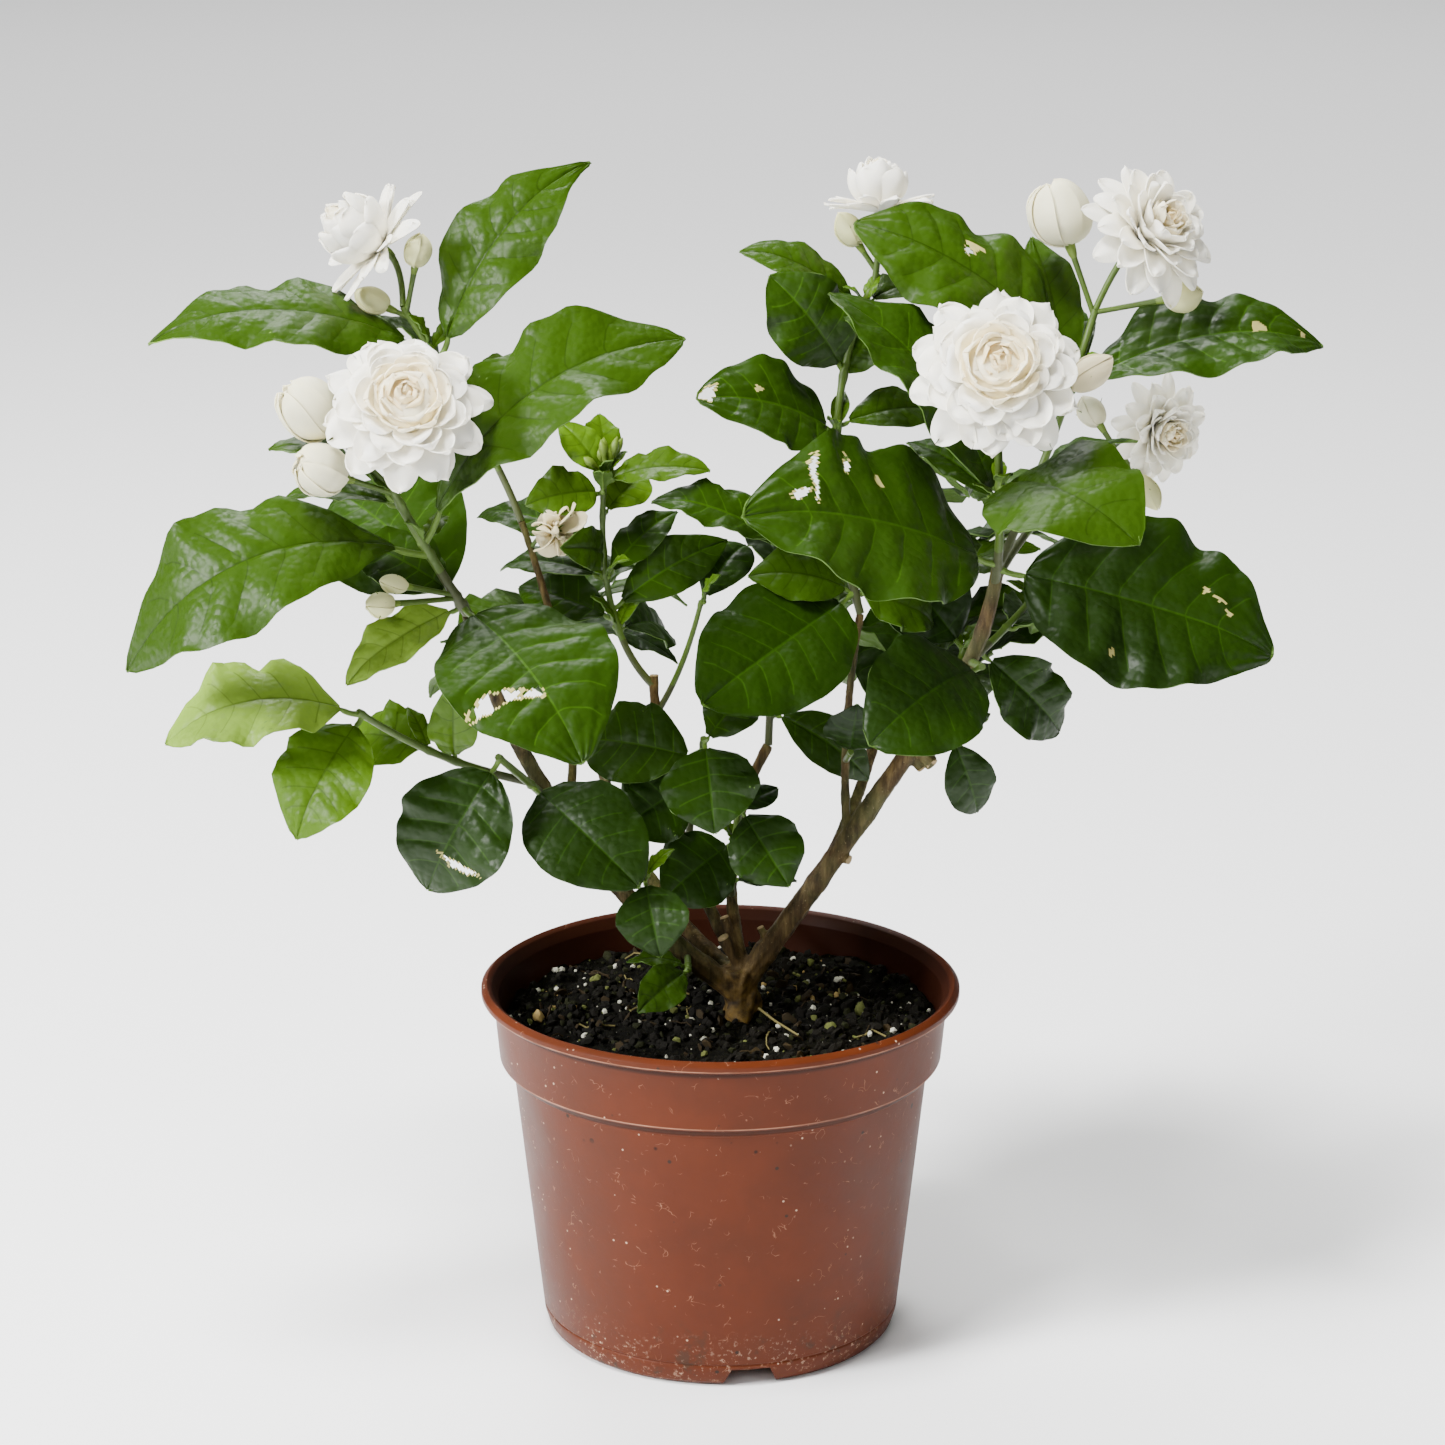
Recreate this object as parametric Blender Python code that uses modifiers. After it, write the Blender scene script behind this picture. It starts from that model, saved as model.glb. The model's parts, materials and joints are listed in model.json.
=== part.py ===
"""A potted Duke of Tuscany jasmine, the double-flowered form of Jasminum sambac.

A young shrub with a short gnarled trunk, woody boughs and leafy shoots that end in
clusters of full white blooms, growing in a plastic nursery pot filled with potting mix.
The origin is the middle of the pot's underside, +Z is up and the front faces -Y.
Sizes below are millimetres and degrees. The model itself is in metres.
"""

import math
import random
from collections import namedtuple

import bmesh
import bpy
from mathutils import Vector
from mathutils.bvhtree import BVHTree

MM = 0.001
GAP = 0.3  # between solids that touch on the real plant
CUT_SHARE = 0.02  # of a limb's length, kept straight at each end
NAME = "potted_duke_of_tuscany_jasmine"

# Pot and potting mix
POT_HEIGHT = 113.0
LIP_RADIUS = 75.0
LIP_DEPTH = 4.0
BAND_TOP_RADIUS = 71.2
BAND_FOOT_RADIUS = 69.4
BAND_FOOT_HEIGHT = 89.5
STEP_HEIGHT = 86.0
BODY_TOP_RADIUS = 65.2
BODY_FOOT_RADIUS = 56.4
FOOT_ROUND_HEIGHT = 5.0
FOOT_RADIUS = 54.0
WALL = 1.6
LIP_WIDTH = 3.4
FOOT_RING_WIDTH = 6.0
FLOOR_UNDERSIDE = 6.5
FLOOR_THICKNESS = 1.8
PAD_RADIUS = 10.0
NOTCH_WIDTH = 17.0
NOTCH_TOP_WIDTH = 12.0
NOTCH_HEIGHT = 5.6
NOTCH_COUNT = 3
FRONT_NOTCH_ANGLE = -80.5
DRAIN_RADIUS = 4.0
DRAIN_RING = 30.0
DRAIN_COUNT = 6
POT_SEGMENTS = 32
SOIL_HEIGHT = 102.0
SOIL_EDGE_HEIGHT = 100.5
SOIL_LEVEL_RADIUS = 28.0

# Trunk
TRUNK_FOOT = (6, 0)
TRUNK_TOP = (7, 0, 117)
TRUNK_RADII = (10.0, 7.6, 6.6, 7.0, 6.0)
TRUNK_SIDES_RESOLUTION = 3
STUB_LENGTH = 13.0
STUB_SWELL = (1.25, 1.2, 1.0, 1.0)  # along a stub, times its bough's radius

# Leaves, blooms and twigs
PETIOLE = 0.1  # share of a leaf's length
PETIOLE_WIDTH = 2.0
LEAF_THICKNESS = 0.9
LEAF_THINNEST = 0.011  # share of its length
LEAF_ROOT = 0.3  # from the middle line of its stem
LEAF_FOLD = 0.22
LEAF_WAIST = 0.82  # the smaller, the nearer its foot a leaf is widest
LEAF_FULLNESS = 0.75
SMALL_LEAF = 50
SPARE_LEAF_WIDTH = 0.5  # of its length
# The rule by which a shoot grows on: angles in degrees, lengths as shares of its leaf size.
TWIG_TURN = 137
TWIG_SPREAD = 20
TWIG_RISE = (0, 45)
TWIG_LENGTH = (0.5, 0.85)
TWIG_SAG = 1.5
TWIG_PAIRS = 2
PAIR_SPREAD = 25
SPARE_RISE = (-25, 35)
SPARE_LENGTH = (0.75, 1.15)
SPARE_FACE = 35  # how far a leaf by rule turns towards the side it grows on
SPARE_FACE_SPREAD = 12
CLEARANCE = 1.0
OWN_REACH = 0.36  # share of a leaf past which it keeps clear of its own shoot's leaves
TWIG_RADIUS = 1.0
STALK_SWELL = (1.1, 1.0, 1.3)  # along a bloom's stalk, times a twig's radius
STALK_ROOT = 0.02  # of a stalk's length, left between its foot and its stem's middle line
BOUGH_RINGS = 6
STEM_RINGS = 5
TWIG_RINGS = 3
CALYX_DEPTH = 0.12  # how far under its middle a bloom's stalk ends, as a share of its size
# Rings of a double bloom from its top to its calyx: radius as a share of half its diameter,
# height as a share of its diameter, and how deep the gaps between the petal tips cut in.
BLOOM_RINGS = (
    (0.00, 0.34, 0.00),
    (0.50, 0.30, 0.00),
    (0.80, 0.21, 0.14),
    (0.66, 0.08, 0.00),
    (1.04, -0.01, 0.16),
    (0.30, -0.15, 0.00),
    (0.00, -0.19, 0.00),
)
BLOOM_SEGMENTS = 18
SMALL_BLOOM = 40
SMALL_BLOOM_SEGMENTS = 14
# A leaf that grows by rule stays only where the crown's front hides it from this place.
FRONT_EYE = (0, -1157, 525)
HIDDEN_SHARE = 0.75

# A limb grows from the middle line of its parent at a share of that line's length. Its own
# line runs to its tip, and bow says how far the middle of it lies off the straight line.
Bough = namedtuple("Bough", "parent at tip bow thick thin")
BOUGHS = {
    "left_bough": Bough("trunk", 0.4, (-75, -32, 239), (-12, 11, -9), 3.2, 2.0),
    "right_bough": Bough("trunk", 0.5, (60, -5, 192), (2, 0, 2), 3.5, 2.9),
    "right_upper_bough": Bough("right_bough", 1.0, (84, -6, 247), (4, 0, -2), 2.8, 2.1),
    "riser": Bough("right_bough", 0.58, (43, 8, 229), (-2, 1, 0), 1.4, 1.2),
    "left_riser": Bough("left_bough", 0.52, (-62, 30, 253), (8, 0, -10), 1.5, 1.2),
    "centre_left_bough": Bough("trunk", 0.95, (-21, 26, 201), (-6, 2, -1), 2.0, 1.6),
    "centre_bough": Bough("trunk", 1.0, (15, 18, 184), (-7, 4, 0), 2.0, 1.6),
    "back_left_bough": Bough("trunk", 0.7, (-40, 62, 168), (-6, 7, -6), 2.6, 1.8),
    "back_right_bough": Bough("trunk", 0.7, (50, 64, 172), (5, 5, -6), 2.6, 1.8),
}

# A leaf points from its stem along heading (0 is +X, 90 is away from the front) and rise,
# face says how far its upper side turns from the sky towards the front, and arch how high
# its middle stands over the straight line to its tip, in hundredths of its length.
Leaf = namedtuple("Leaf", "at length width heading rise face arch", defaults=(12,))
# A bloom or bud stands on a stalk, and a bloom looks along its own heading and rise.
Bloom = namedtuple("Bloom", "at stalk heading rise size looks_heading looks_rise")
Bud = namedtuple("Bud", "at stalk heading rise size plump")
# A shoot is a leafy mass on one stem. Past the leaves named here it branches by a seeded
# rule into twigs, and stem and twigs bear pairs of leaves, each turned from the last.
Shoot = namedtuple(
    "Shoot",
    "parent at tip bow thick thin twigs pairs leaf_size leaves blooms buds",
    defaults=(0, 0, 40, (), (), ()),
)

SHOOTS = {
    "left_bloom_shoot": Shoot(
        "left_bough", 1.0, (-97, -46, 283), (-1, -1, 1), 1.6, 1.3, leaf_size=44, pairs=1,
        leaves=[
            Leaf(0.42, 94, 46, 194, -16, 38, 28),
            Leaf(0.50, 97, 36, 8, 37, 30, 23),
            Leaf(0.06, 62, 48, 134, 23, 40, 10),
            Leaf(0.12, 36, 22, 160, 13, 50),
            Leaf(0.02, 72, 53, -53, -23, 30, 8),
            Leaf(0.0, 41, 17, 200, -27, 40, 8),
            Leaf(0.80, 36, 11, 176, 2, 20, 8),
        ],
        blooms=[Bloom(1.0, 28, -62, 56, 47, -84, 20)],
        buds=[
            Bud(0.93, 34, 197, 46, 18, 1.05),
            Bud(0.88, 26, 215, 23, 16, 1.0),
            Bud(0.10, 28, 220, 5, 8, 1.2),
            Bud(0.12, 22, 215, 17, 6, 1.6),
        ],
    ),
    "left_low_shoot": Shoot(
        "left_bough", 0.61, (-108, -36, 210), (-2, 4, -4), 1.4, 1.0,
        leaves=[
            Leaf(0.98, 58, 32, 191, -6, 32, 22),
            Leaf(0.97, 42, 30, 226, -46, 42, 8),
            Leaf(0.55, 30, 22, 144, 2, 50),
            Leaf(0.40, 30, 15, 268, 70, 60),
        ],
    ),
    "left_front_sprig": Shoot(
        "left_bough", 0.56, (-67, -29, 194), (0, 0, 0), 1.4, 1.1,
        leaves=[
            Leaf(0.95, 46, 36, 194, -61, 52, 14),
            Leaf(0.20, 49, 35, -42, -30, 56),
        ],
    ),
    "upper_left_shoot": Shoot(
        "left_riser", 1.0, (-98, 38, 319), (5, 2, -6), 1.2, 1.1, twigs=1, pairs=1, leaf_size=40,
        leaves=[
            Leaf(0.84, 86, 38, 194, 6, 26, 14),
            Leaf(0.80, 77, 36, 16, 54, 30, 12),
            Leaf(0.50, 42, 24, 66, 20, 30),
            Leaf(0.62, 40, 16, 180, 8, 40),
        ],
        blooms=[Bloom(1.0, 22, 157, 63, 40, 205, 35)],
        buds=[
            Bud(0.98, 21, -46, 73, 9, 1.25),
            Bud(0.96, 13, 180, 25, 9, 1.3),
        ],
    ),
    "centre_left_shoot": Shoot(
        "centre_left_bough", 1.0, (-36, 34, 268), (-6, 2, -8), 1.3, 0.9, pairs=1, leaf_size=34,
        leaves=[
            Leaf(0.98, 22, 12, 171, 53, 50),
            Leaf(0.99, 20, 12, 95, 58, 60),
            Leaf(0.97, 34, 14, -17, 8, 34),
            Leaf(0.93, 26, 17, 208, -2, 50),
            Leaf(0.85, 22, 15, 47, 27, 50),
            Leaf(0.70, 31, 14, 247, 18, 70),
            Leaf(0.72, 46, 15, 167, 8, 26),
            Leaf(0.60, 39, 14, 154, -2, 30),
            Leaf(0.45, 42, 18, 14, 31, 55),
            Leaf(0.60, 31, 14, 28, 38, 40),
            Leaf(0.40, 34, 20, 158, 10, 45),
            Leaf(0.35, 34, 20, 63, -15, 50),
        ],
    ),
    "bare_twig": Shoot(
        "centre_left_bough", 0.90, (-6, 28, 228), (1, 0, -2), 1.1, 0.8,
        leaves=[Leaf(0.98, 30, 16, 60, 42, 50)],
    ),
    "centre_shoot": Shoot(
        "centre_bough", 1.0, (21, 24, 247), (-1, 1, 1), 1.3, 1.0, pairs=2, leaf_size=38,
        leaves=[
            Leaf(0.98, 44, 17, 183, 21, 30),
            Leaf(0.95, 32, 12, 143, 32, 40),
            Leaf(0.15, 39, 17, 4, -36, 45),
            Leaf(0.50, 31, 16, 243, 37, 60),
        ],
    ),
    "centre_low_sprig": Shoot(
        "centre_left_bough", 0.42, (-5, -20, 197), (0, -1, 1), 1.3, 1.0,
        leaves=[
            Leaf(1.0, 29, 30, -75, -60, 60, 8),
            Leaf(0.60, 27, 26, 195, -28, 62, 8),
            Leaf(0.80, 38, 28, 162, 5, 58),
            Leaf(0.95, 27, 18, 50, 30, 60),
        ],
    ),
    "hanging_sprig": Shoot(
        "centre_left_bough", 0.54, (-23, -33, 157), (-4, 3, 2), 1.1, 0.9,
        leaves=[Leaf(1.0, 24, 22, -65, -64, 60, 8)],
    ),
    "low_front_sprig": Shoot(
        "centre_bough", 0.30, (6, -17, 174), (-1, -1, 0), 1.2, 1.0,
        leaves=[
            Leaf(0.62, 29, 26, 212, -26, 62, 8),
            Leaf(1.0, 28, 24, -38, -50, 62, 8),
            Leaf(0.97, 14, 9, 30, 25, 50),
            Leaf(0.15, 20, 9, -5, 5, 40),
        ],
    ),
    "basal_sprig": Shoot(
        "left_bough", 0.13, (-10, -12, 120), (0, 0, 0), 1.2, 1.0,
        leaves=[
            Leaf(0.95, 25, 14, 231, -14, 60),
            Leaf(0.60, 19, 9, 190, 8, 20),
        ],
    ),
    "riser_sprig": Shoot(
        "riser", 0.35, (40, -7, 189), (0, 0, 0), 1.1, 0.9,
        leaves=[Leaf(0.80, 20, 18, -80, 62, 60)],
    ),
    "top_centre_shoot": Shoot(
        "riser", 1.0, (48, 28, 331), (-10, -2, 4), 1.3, 1.1, pairs=2, leaf_size=42,
        leaves=[
            Leaf(0.03, 70, 42, 228, -18, 52, 2),
            Leaf(0.05, 34, 20, 195, 9, 40),
            Leaf(0.02, 30, 19, 20, -24, 50),
            Leaf(0.10, 40, 22, 96, -25, 30),
            Leaf(0.50, 48, 33, 208, 17, 46),
            Leaf(0.52, 36, 16, 25, 2, 40),
            Leaf(0.68, 39, 27, 206, 53, 60),
            Leaf(0.66, 17, 14, 40, 50, 60),
            Leaf(0.88, 41, 18, 188, 28, 34),
            Leaf(0.90, 34, 15, 47, 2, 36),
        ],
        blooms=[Bloom(0.98, 23, 61, 84, 32, 100, 78)],
        buds=[Bud(1.0, 16, 167, 55, 9, 1.3)],
    ),
    "right_front_shoot": Shoot(
        "right_upper_bough", 0.92, (81, -36, 292), (1, -1, -3), 1.5, 1.3, pairs=1, leaf_size=44,
        leaves=[
            Leaf(0.09, 92, 58, 210, 20, 42, 6),
            Leaf(0.02, 86, 58, -13, -15, 42, 6),
            Leaf(0.50, 83, 34, 159, 52, 16, 14),
            Leaf(0.72, 58, 46, -55, -6, 46, 17),
            Leaf(0.60, 38, 12, 137, 16, 40),
        ],
        blooms=[Bloom(1.0, 27, -96, 58, 50, -90, 14)],
        buds=[Bud(0.99, 34, 0, 38, 10, 1.5)],
    ),
    "right_top_shoot": Shoot(
        "right_upper_bough", 1.0, (113, 10, 323), (1, 2, -3), 1.4, 1.2, pairs=1, leaf_size=46,
        leaves=[
            Leaf(0.72, 79, 38, 7, 9, 24, 13),
            Leaf(0.78, 80, 42, 166, 37, 24, 14),
            Leaf(0.70, 62, 30, 100, 12, 10),
            Leaf(0.70, 52, 18, 108, 68, 30),
        ],
        blooms=[Bloom(1.0, 28, -16, 57, 44, -50, 35)],
        buds=[
            Bud(0.98, 32, 160, 69, 20, 1.0),
            Bud(0.99, 27, -9, 12, 10, 1.2),
        ],
    ),
    "right_back_shoot": Shoot(
        "right_upper_bough", 0.93, (126, 42, 274), (-4, 1, 1), 1.4, 1.1, twigs=1, pairs=2, leaf_size=44,
        blooms=[Bloom(1.0, 12, 0, 28, 33, -60, -5)],
        buds=[
            Bud(0.96, 15, 153, 53, 9, 1.2),
            Bud(0.97, 16, -31, -50, 8, 1.6),
        ],
    ),
    "right_mid_sprig": Shoot(
        "right_upper_bough", 0.50, (79, -18, 219), (0, 0, 0), 1.4, 1.1,
        leaves=[Leaf(0.85, 52, 38, 225, -12, 56)],
    ),
    "right_inner_sprig": Shoot(
        "right_upper_bough", 0.30, (76, 24, 214), (0, 0, 0), 1.2, 1.0, pairs=1, leaf_size=36,
        leaves=[Leaf(0.95, 38, 28, 158, 48, 62)],
    ),
    "right_low_shoot": Shoot(
        "right_upper_bough", 0.5, (97, 18, 232), (0, 0, -1), 1.3, 1.0, pairs=1, leaf_size=36,
        leaves=[
            Leaf(0.02, 40, 24, 20, -46, 60),
            Leaf(0.50, 43, 20, 70, -14, 40),
        ],
    ),
    "knob_sprig": Shoot(
        "right_bough", 0.97, (73, 8, 190), (0, 1, 0), 1.3, 1.1,
        leaves=[
            Leaf(0.90, 28, 17, 21, -70, 60),
            Leaf(0.85, 34, 20, 80, -10, 0),
        ],
    ),
    "back_left_shoot": Shoot(
        "back_left_bough", 1.0, (-58, 82, 222), (-4, 6, -2), 1.7, 1.1,
        twigs=4, pairs=3, leaf_size=46,
    ),
    "back_right_shoot": Shoot(
        "back_right_bough", 1.0, (70, 84, 240), (2, 6, -2), 1.7, 1.1,
        twigs=4, pairs=3, leaf_size=50,
    ),
}


def mm(*xyz):
    """A point or a distance given in millimetres, in metres."""
    return Vector(xyz) * MM


def direction(heading, rise):
    """The unit vector along a compass heading and a rise above level, in degrees."""
    across = math.cos(math.radians(rise))
    return Vector(
        (
            across * math.cos(math.radians(heading)),
            across * math.sin(math.radians(heading)),
            math.sin(math.radians(rise)),
        )
    )


def collection(name):
    group = bpy.data.collections.new(name)
    bpy.context.scene.collection.children.link(group)
    return group


def material(name, colour, roughness, metallic=0.0):
    made = bpy.data.materials.new(name)
    made.use_nodes = True
    shader = made.node_tree.nodes["Principled BSDF"]
    shader.inputs["Base Color"].default_value = (*colour, 1.0)
    shader.inputs["Roughness"].default_value = roughness
    shader.inputs["Metallic"].default_value = metallic
    return made


def add_mesh(name, bm, group, look=None):
    mesh = bpy.data.meshes.new(name)
    bm.to_mesh(mesh)
    bm.free()
    piece = bpy.data.objects.new(name, mesh)
    group.objects.link(piece)
    if look:
        mesh.materials.append(look)
    return piece


def evaluated_mesh(piece):
    graph = bpy.context.evaluated_depsgraph_get()
    return bpy.data.meshes.new_from_object(piece.evaluated_get(graph))


def apply_modifiers(piece):
    mesh = evaluated_mesh(piece)
    piece.modifiers.clear()
    piece.data = mesh
    return piece


def tube(name, points, radii, group, resolution, look=None):
    """A tapering tube through the points: a bevelled curve made a mesh, its caps welded."""
    curve = bpy.data.curves.new(name, "CURVE")
    curve.dimensions = "3D"
    curve.bevel_depth = 1.0
    curve.bevel_resolution = resolution
    curve.use_fill_caps = True
    line = curve.splines.new("POLY")
    line.points.add(len(points) - 1)
    for spot, point, radius in zip(line.points, points, radii):
        spot.co = (*point, 1.0)
        spot.radius = radius
    guide = bpy.data.objects.new(name + "_line", curve)
    group.objects.link(guide)
    mesh = evaluated_mesh(guide)
    bpy.data.objects.remove(guide)
    bm = bmesh.new()
    bm.from_mesh(mesh)
    bmesh.ops.remove_doubles(bm, verts=bm.verts, dist=0.00001)
    return add_mesh(name, bm, group, look)


class Line:
    """The middle line of a limb, a curve from foot to tip that bows at its middle."""

    def __init__(self, foot, tip, bow, thick, thin):
        self.foot = foot
        self.tip = tip
        self.pull = (foot + tip) / 2 + bow * 2
        self.thick = thick * MM
        self.thin = thin * MM
        self.start = 0.0

    def point(self, share):
        rest = 1 - share
        return self.foot * rest**2 + self.pull * (2 * rest * share) + self.tip * share**2

    def along(self, share):
        rest = 1 - share
        return ((self.pull - self.foot) * rest + (self.tip - self.pull) * share).normalized()

    def radius(self, share):
        return self.thick + (self.thin - self.thick) * share

    def spot(self, at):
        """The point at a share of the solid stretch, just past its foot at the least."""
        return self.point(self.start + (1 - self.start) * max(at, 0.05))

    def share_at(self, distance):
        """The share of the line that lies this far along it from the foot."""
        steps = 200
        gone, last = 0.0, self.foot
        for step in range(steps):
            here = self.point((step + 1) / steps)
            stride = (here - last).length
            if gone + stride >= distance:
                return (step + (distance - gone) / stride) / steps
            gone += stride
            last = here
        return 1.0

    def solid(self, name, group, rings, resolution, look=None):
        """The limb's solid. Its short end lengths keep both cuts square to its line."""
        spread = [0.0, CUT_SHARE, *(i / (rings - 1) for i in range(1, rings - 1)), 1 - CUT_SHARE, 1.0]
        shares = [self.start + (1 - self.start) * part for part in spread]
        points = [self.point(share) for share in shares]
        return tube(name, points, [self.radius(share) for share in shares], group, resolution, look)


def seat(parent, at, line):
    """Where a side limb's solid starts on its own line, clear of its parent by the gap."""
    slant = line.along(0.0).angle(parent.along(at))
    if at >= 1.0:
        return line.share_at((GAP * MM + line.thick * math.sin(slant)) / math.cos(slant))
    reach = parent.radius(at) + GAP * MM + line.thick * abs(math.cos(slant))
    return line.share_at(reach / math.sin(slant))


def grow(lines, name, plan):
    """Works out the middle line of a bough or shoot on the line of its parent."""
    parent = lines[plan.parent]
    line = Line(parent.point(plan.at), mm(*plan.tip), mm(*plan.bow), plan.thick, plan.thin)
    if plan.parent == "trunk":
        line.start = line.share_at((STUB_LENGTH + GAP) * MM)
    else:
        line.start = seat(parent, plan.at, line)
    lines[name] = line
    return line


def pot_profile():
    """The pot's outline from the middle of its inner floor round to the middle below."""
    inside_floor = FLOOR_UNDERSIDE + FLOOR_THICKNESS
    slope = (BODY_TOP_RADIUS - BODY_FOOT_RADIUS) / (STEP_HEIGHT - FOOT_ROUND_HEIGHT)
    floor_radius = BODY_FOOT_RADIUS + slope * (inside_floor - FOOT_ROUND_HEIGHT) - WALL
    ring_inside = FOOT_RADIUS - FOOT_RING_WIDTH
    return [
        (0, inside_floor),
        (floor_radius, inside_floor),
        (BODY_TOP_RADIUS - WALL, STEP_HEIGHT - WALL),
        (BAND_FOOT_RADIUS - WALL, BAND_FOOT_HEIGHT - WALL),
        (BAND_TOP_RADIUS - WALL, POT_HEIGHT - LIP_DEPTH),
        (LIP_RADIUS - LIP_WIDTH, POT_HEIGHT - 1.0),
        (LIP_RADIUS - LIP_WIDTH / 2, POT_HEIGHT),
        (LIP_RADIUS, POT_HEIGHT - 1.4),
        (LIP_RADIUS, POT_HEIGHT - LIP_DEPTH + 1.0),
        (LIP_RADIUS - 1.2, POT_HEIGHT - LIP_DEPTH),
        (BAND_TOP_RADIUS, POT_HEIGHT - LIP_DEPTH - 0.6),
        (BAND_FOOT_RADIUS, BAND_FOOT_HEIGHT),
        (BAND_FOOT_RADIUS - 1.4, BAND_FOOT_HEIGHT - 1.6),
        (BODY_TOP_RADIUS, STEP_HEIGHT),
        (BODY_FOOT_RADIUS, FOOT_ROUND_HEIGHT),
        (FOOT_RADIUS + 1.2, 1.2),
        (FOOT_RADIUS, 0),
        (ring_inside, 0),
        (ring_inside - 1.0, FLOOR_UNDERSIDE),
        (PAD_RADIUS + 2.0, FLOOR_UNDERSIDE),
        (PAD_RADIUS, 0),
        (0, 0),
    ]


def turned(name, outline, group, look):
    """A body turned round the upright axis from its outline, given in millimetres."""
    bm = bmesh.new()
    spots = [bm.verts.new(mm(radius, 0, height)) for radius, height in outline]
    for lower, upper in zip(spots, spots[1:]):
        bm.edges.new((lower, upper))
    piece = add_mesh(name, bm, group, look)
    screw = piece.modifiers.new("Turn", "SCREW")
    screw.steps = POT_SEGMENTS
    screw.render_steps = POT_SEGMENTS
    screw.use_merge_vertices = True
    screw.merge_threshold = 0.0001
    return apply_modifiers(piece)


def cut(piece, cutters):
    """Takes the cutters' shapes out of the piece."""
    for cutter in cutters:
        boolean = piece.modifiers.new("Cut", "BOOLEAN")
        boolean.operation = "DIFFERENCE"
        boolean.solver = "EXACT"
        boolean.object = cutter
    return apply_modifiers(piece)


def mark_cutter(piece):
    piece.hide_render = True
    piece.display_type = "WIRE"
    return piece


def notch_cutters(group):
    """Wedges narrower at the top, for the drainage notches in the pot's foot ring."""
    made = []
    for number in range(NOTCH_COUNT):
        angle = math.radians(FRONT_NOTCH_ANGLE + 360 * number / NOTCH_COUNT)
        bm = bmesh.new()
        bmesh.ops.create_cube(bm, size=1.0)
        for vert in bm.verts:
            high = vert.co.z > 0
            width = NOTCH_TOP_WIDTH if high else NOTCH_WIDTH + 1.6
            height = NOTCH_HEIGHT if high else -2.0
            radius = FOOT_RADIUS + vert.co.x * 4 * FOOT_RING_WIDTH
            vert.co = mm(radius, vert.co.y * width, height)
        cutter = mark_cutter(add_mesh(f"notch_cutter_{number}", bm, group))
        cutter.rotation_euler.z = angle
        made.append(cutter)
    return made


def drain_cutters(group):
    made = []
    for number in range(DRAIN_COUNT):
        angle = 2 * math.pi * number / DRAIN_COUNT
        bm = bmesh.new()
        bmesh.ops.create_cone(
            bm, cap_ends=True, segments=8, radius1=DRAIN_RADIUS * MM,
            radius2=DRAIN_RADIUS * MM, depth=4 * FLOOR_THICKNESS * MM,
        )
        cutter = mark_cutter(add_mesh(f"drain_cutter_{number}", bm, group))
        ring = DRAIN_RING * MM
        height = (FLOOR_UNDERSIDE + FLOOR_THICKNESS / 2) * MM
        cutter.location = (ring * math.cos(angle), ring * math.sin(angle), height)
        made.append(cutter)
    return made


def make_pot(group, cutters, look):
    pot = turned("pot", pot_profile(), group, look)
    made = notch_cutters(cutters) + drain_cutters(cutters)
    bpy.context.view_layer.update()
    cut(pot, made)
    pot.data.shade_smooth()
    pot.data.set_sharp_from_angle(angle=math.radians(35))
    return pot


def make_soil(group, look):
    """The filling of potting mix, clear of the pot all round and level round the trunk."""
    inside = pot_profile()[1:5]
    wall = [(radius - GAP, height) for radius, height in inside]
    (low_radius, low_height), (top_radius, top_height) = wall[-2], wall[-1]
    share = (SOIL_EDGE_HEIGHT - low_height) / (top_height - low_height)
    edge = (low_radius + (top_radius - low_radius) * share, SOIL_EDGE_HEIGHT)
    floor = inside[0][1] + GAP
    outline = [
        (0, SOIL_HEIGHT),
        (SOIL_LEVEL_RADIUS, SOIL_HEIGHT),
        edge,
        wall[2],
        wall[1],
        (wall[0][0], floor),
        (0, floor),
    ]
    return turned("potting_mix", outline, group, look)


def make_trunk(lines, group, look):
    """The gnarled root crown: a flared foot with a stub for each bough that grows from it."""
    foot = mm(*TRUNK_FOOT, SOIL_HEIGHT + GAP)
    lines["trunk"] = Line(foot, mm(*TRUNK_TOP), mm(-1, 0, 0), 8.0, 7.0)
    line = lines["trunk"]
    last = len(TRUNK_RADII) - 1
    points = [foot, foot + mm(0, 0, 2.5)] + [line.point(i / last) for i in range(2, last + 1)]
    radii = [radius * MM for radius in TRUNK_RADII]
    return tube("trunk", points, radii, group, TRUNK_SIDES_RESOLUTION, look)


def add_stubs(trunk, lines):
    """Joins to the trunk the first stretch of every bough that grows from it."""
    stubs = collection("stubs")
    for name, plan in BOUGHS.items():
        if plan.parent != "trunk":
            continue
        line = lines[name]
        end = line.share_at(STUB_LENGTH * MM)
        points = [line.point(end * share) for share in (0.0, 0.5, 0.92, 1.0)]
        radii = [line.thick * swell for swell in STUB_SWELL]
        tube(f"{name}_stub", points, radii, stubs, 2)
    fuse(trunk, stubs)


def fuse(piece, group):
    """One union of the piece with all solids of a collection, which are then removed."""
    join = piece.modifiers.new("Fuse", "BOOLEAN")
    join.operation = "UNION"
    join.operand_type = "COLLECTION"
    join.collection = group
    join.solver = "MANIFOLD"
    apply_modifiers(piece)
    for spare in list(group.objects):
        bpy.data.objects.remove(spare)
    bpy.data.collections.remove(group)


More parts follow.
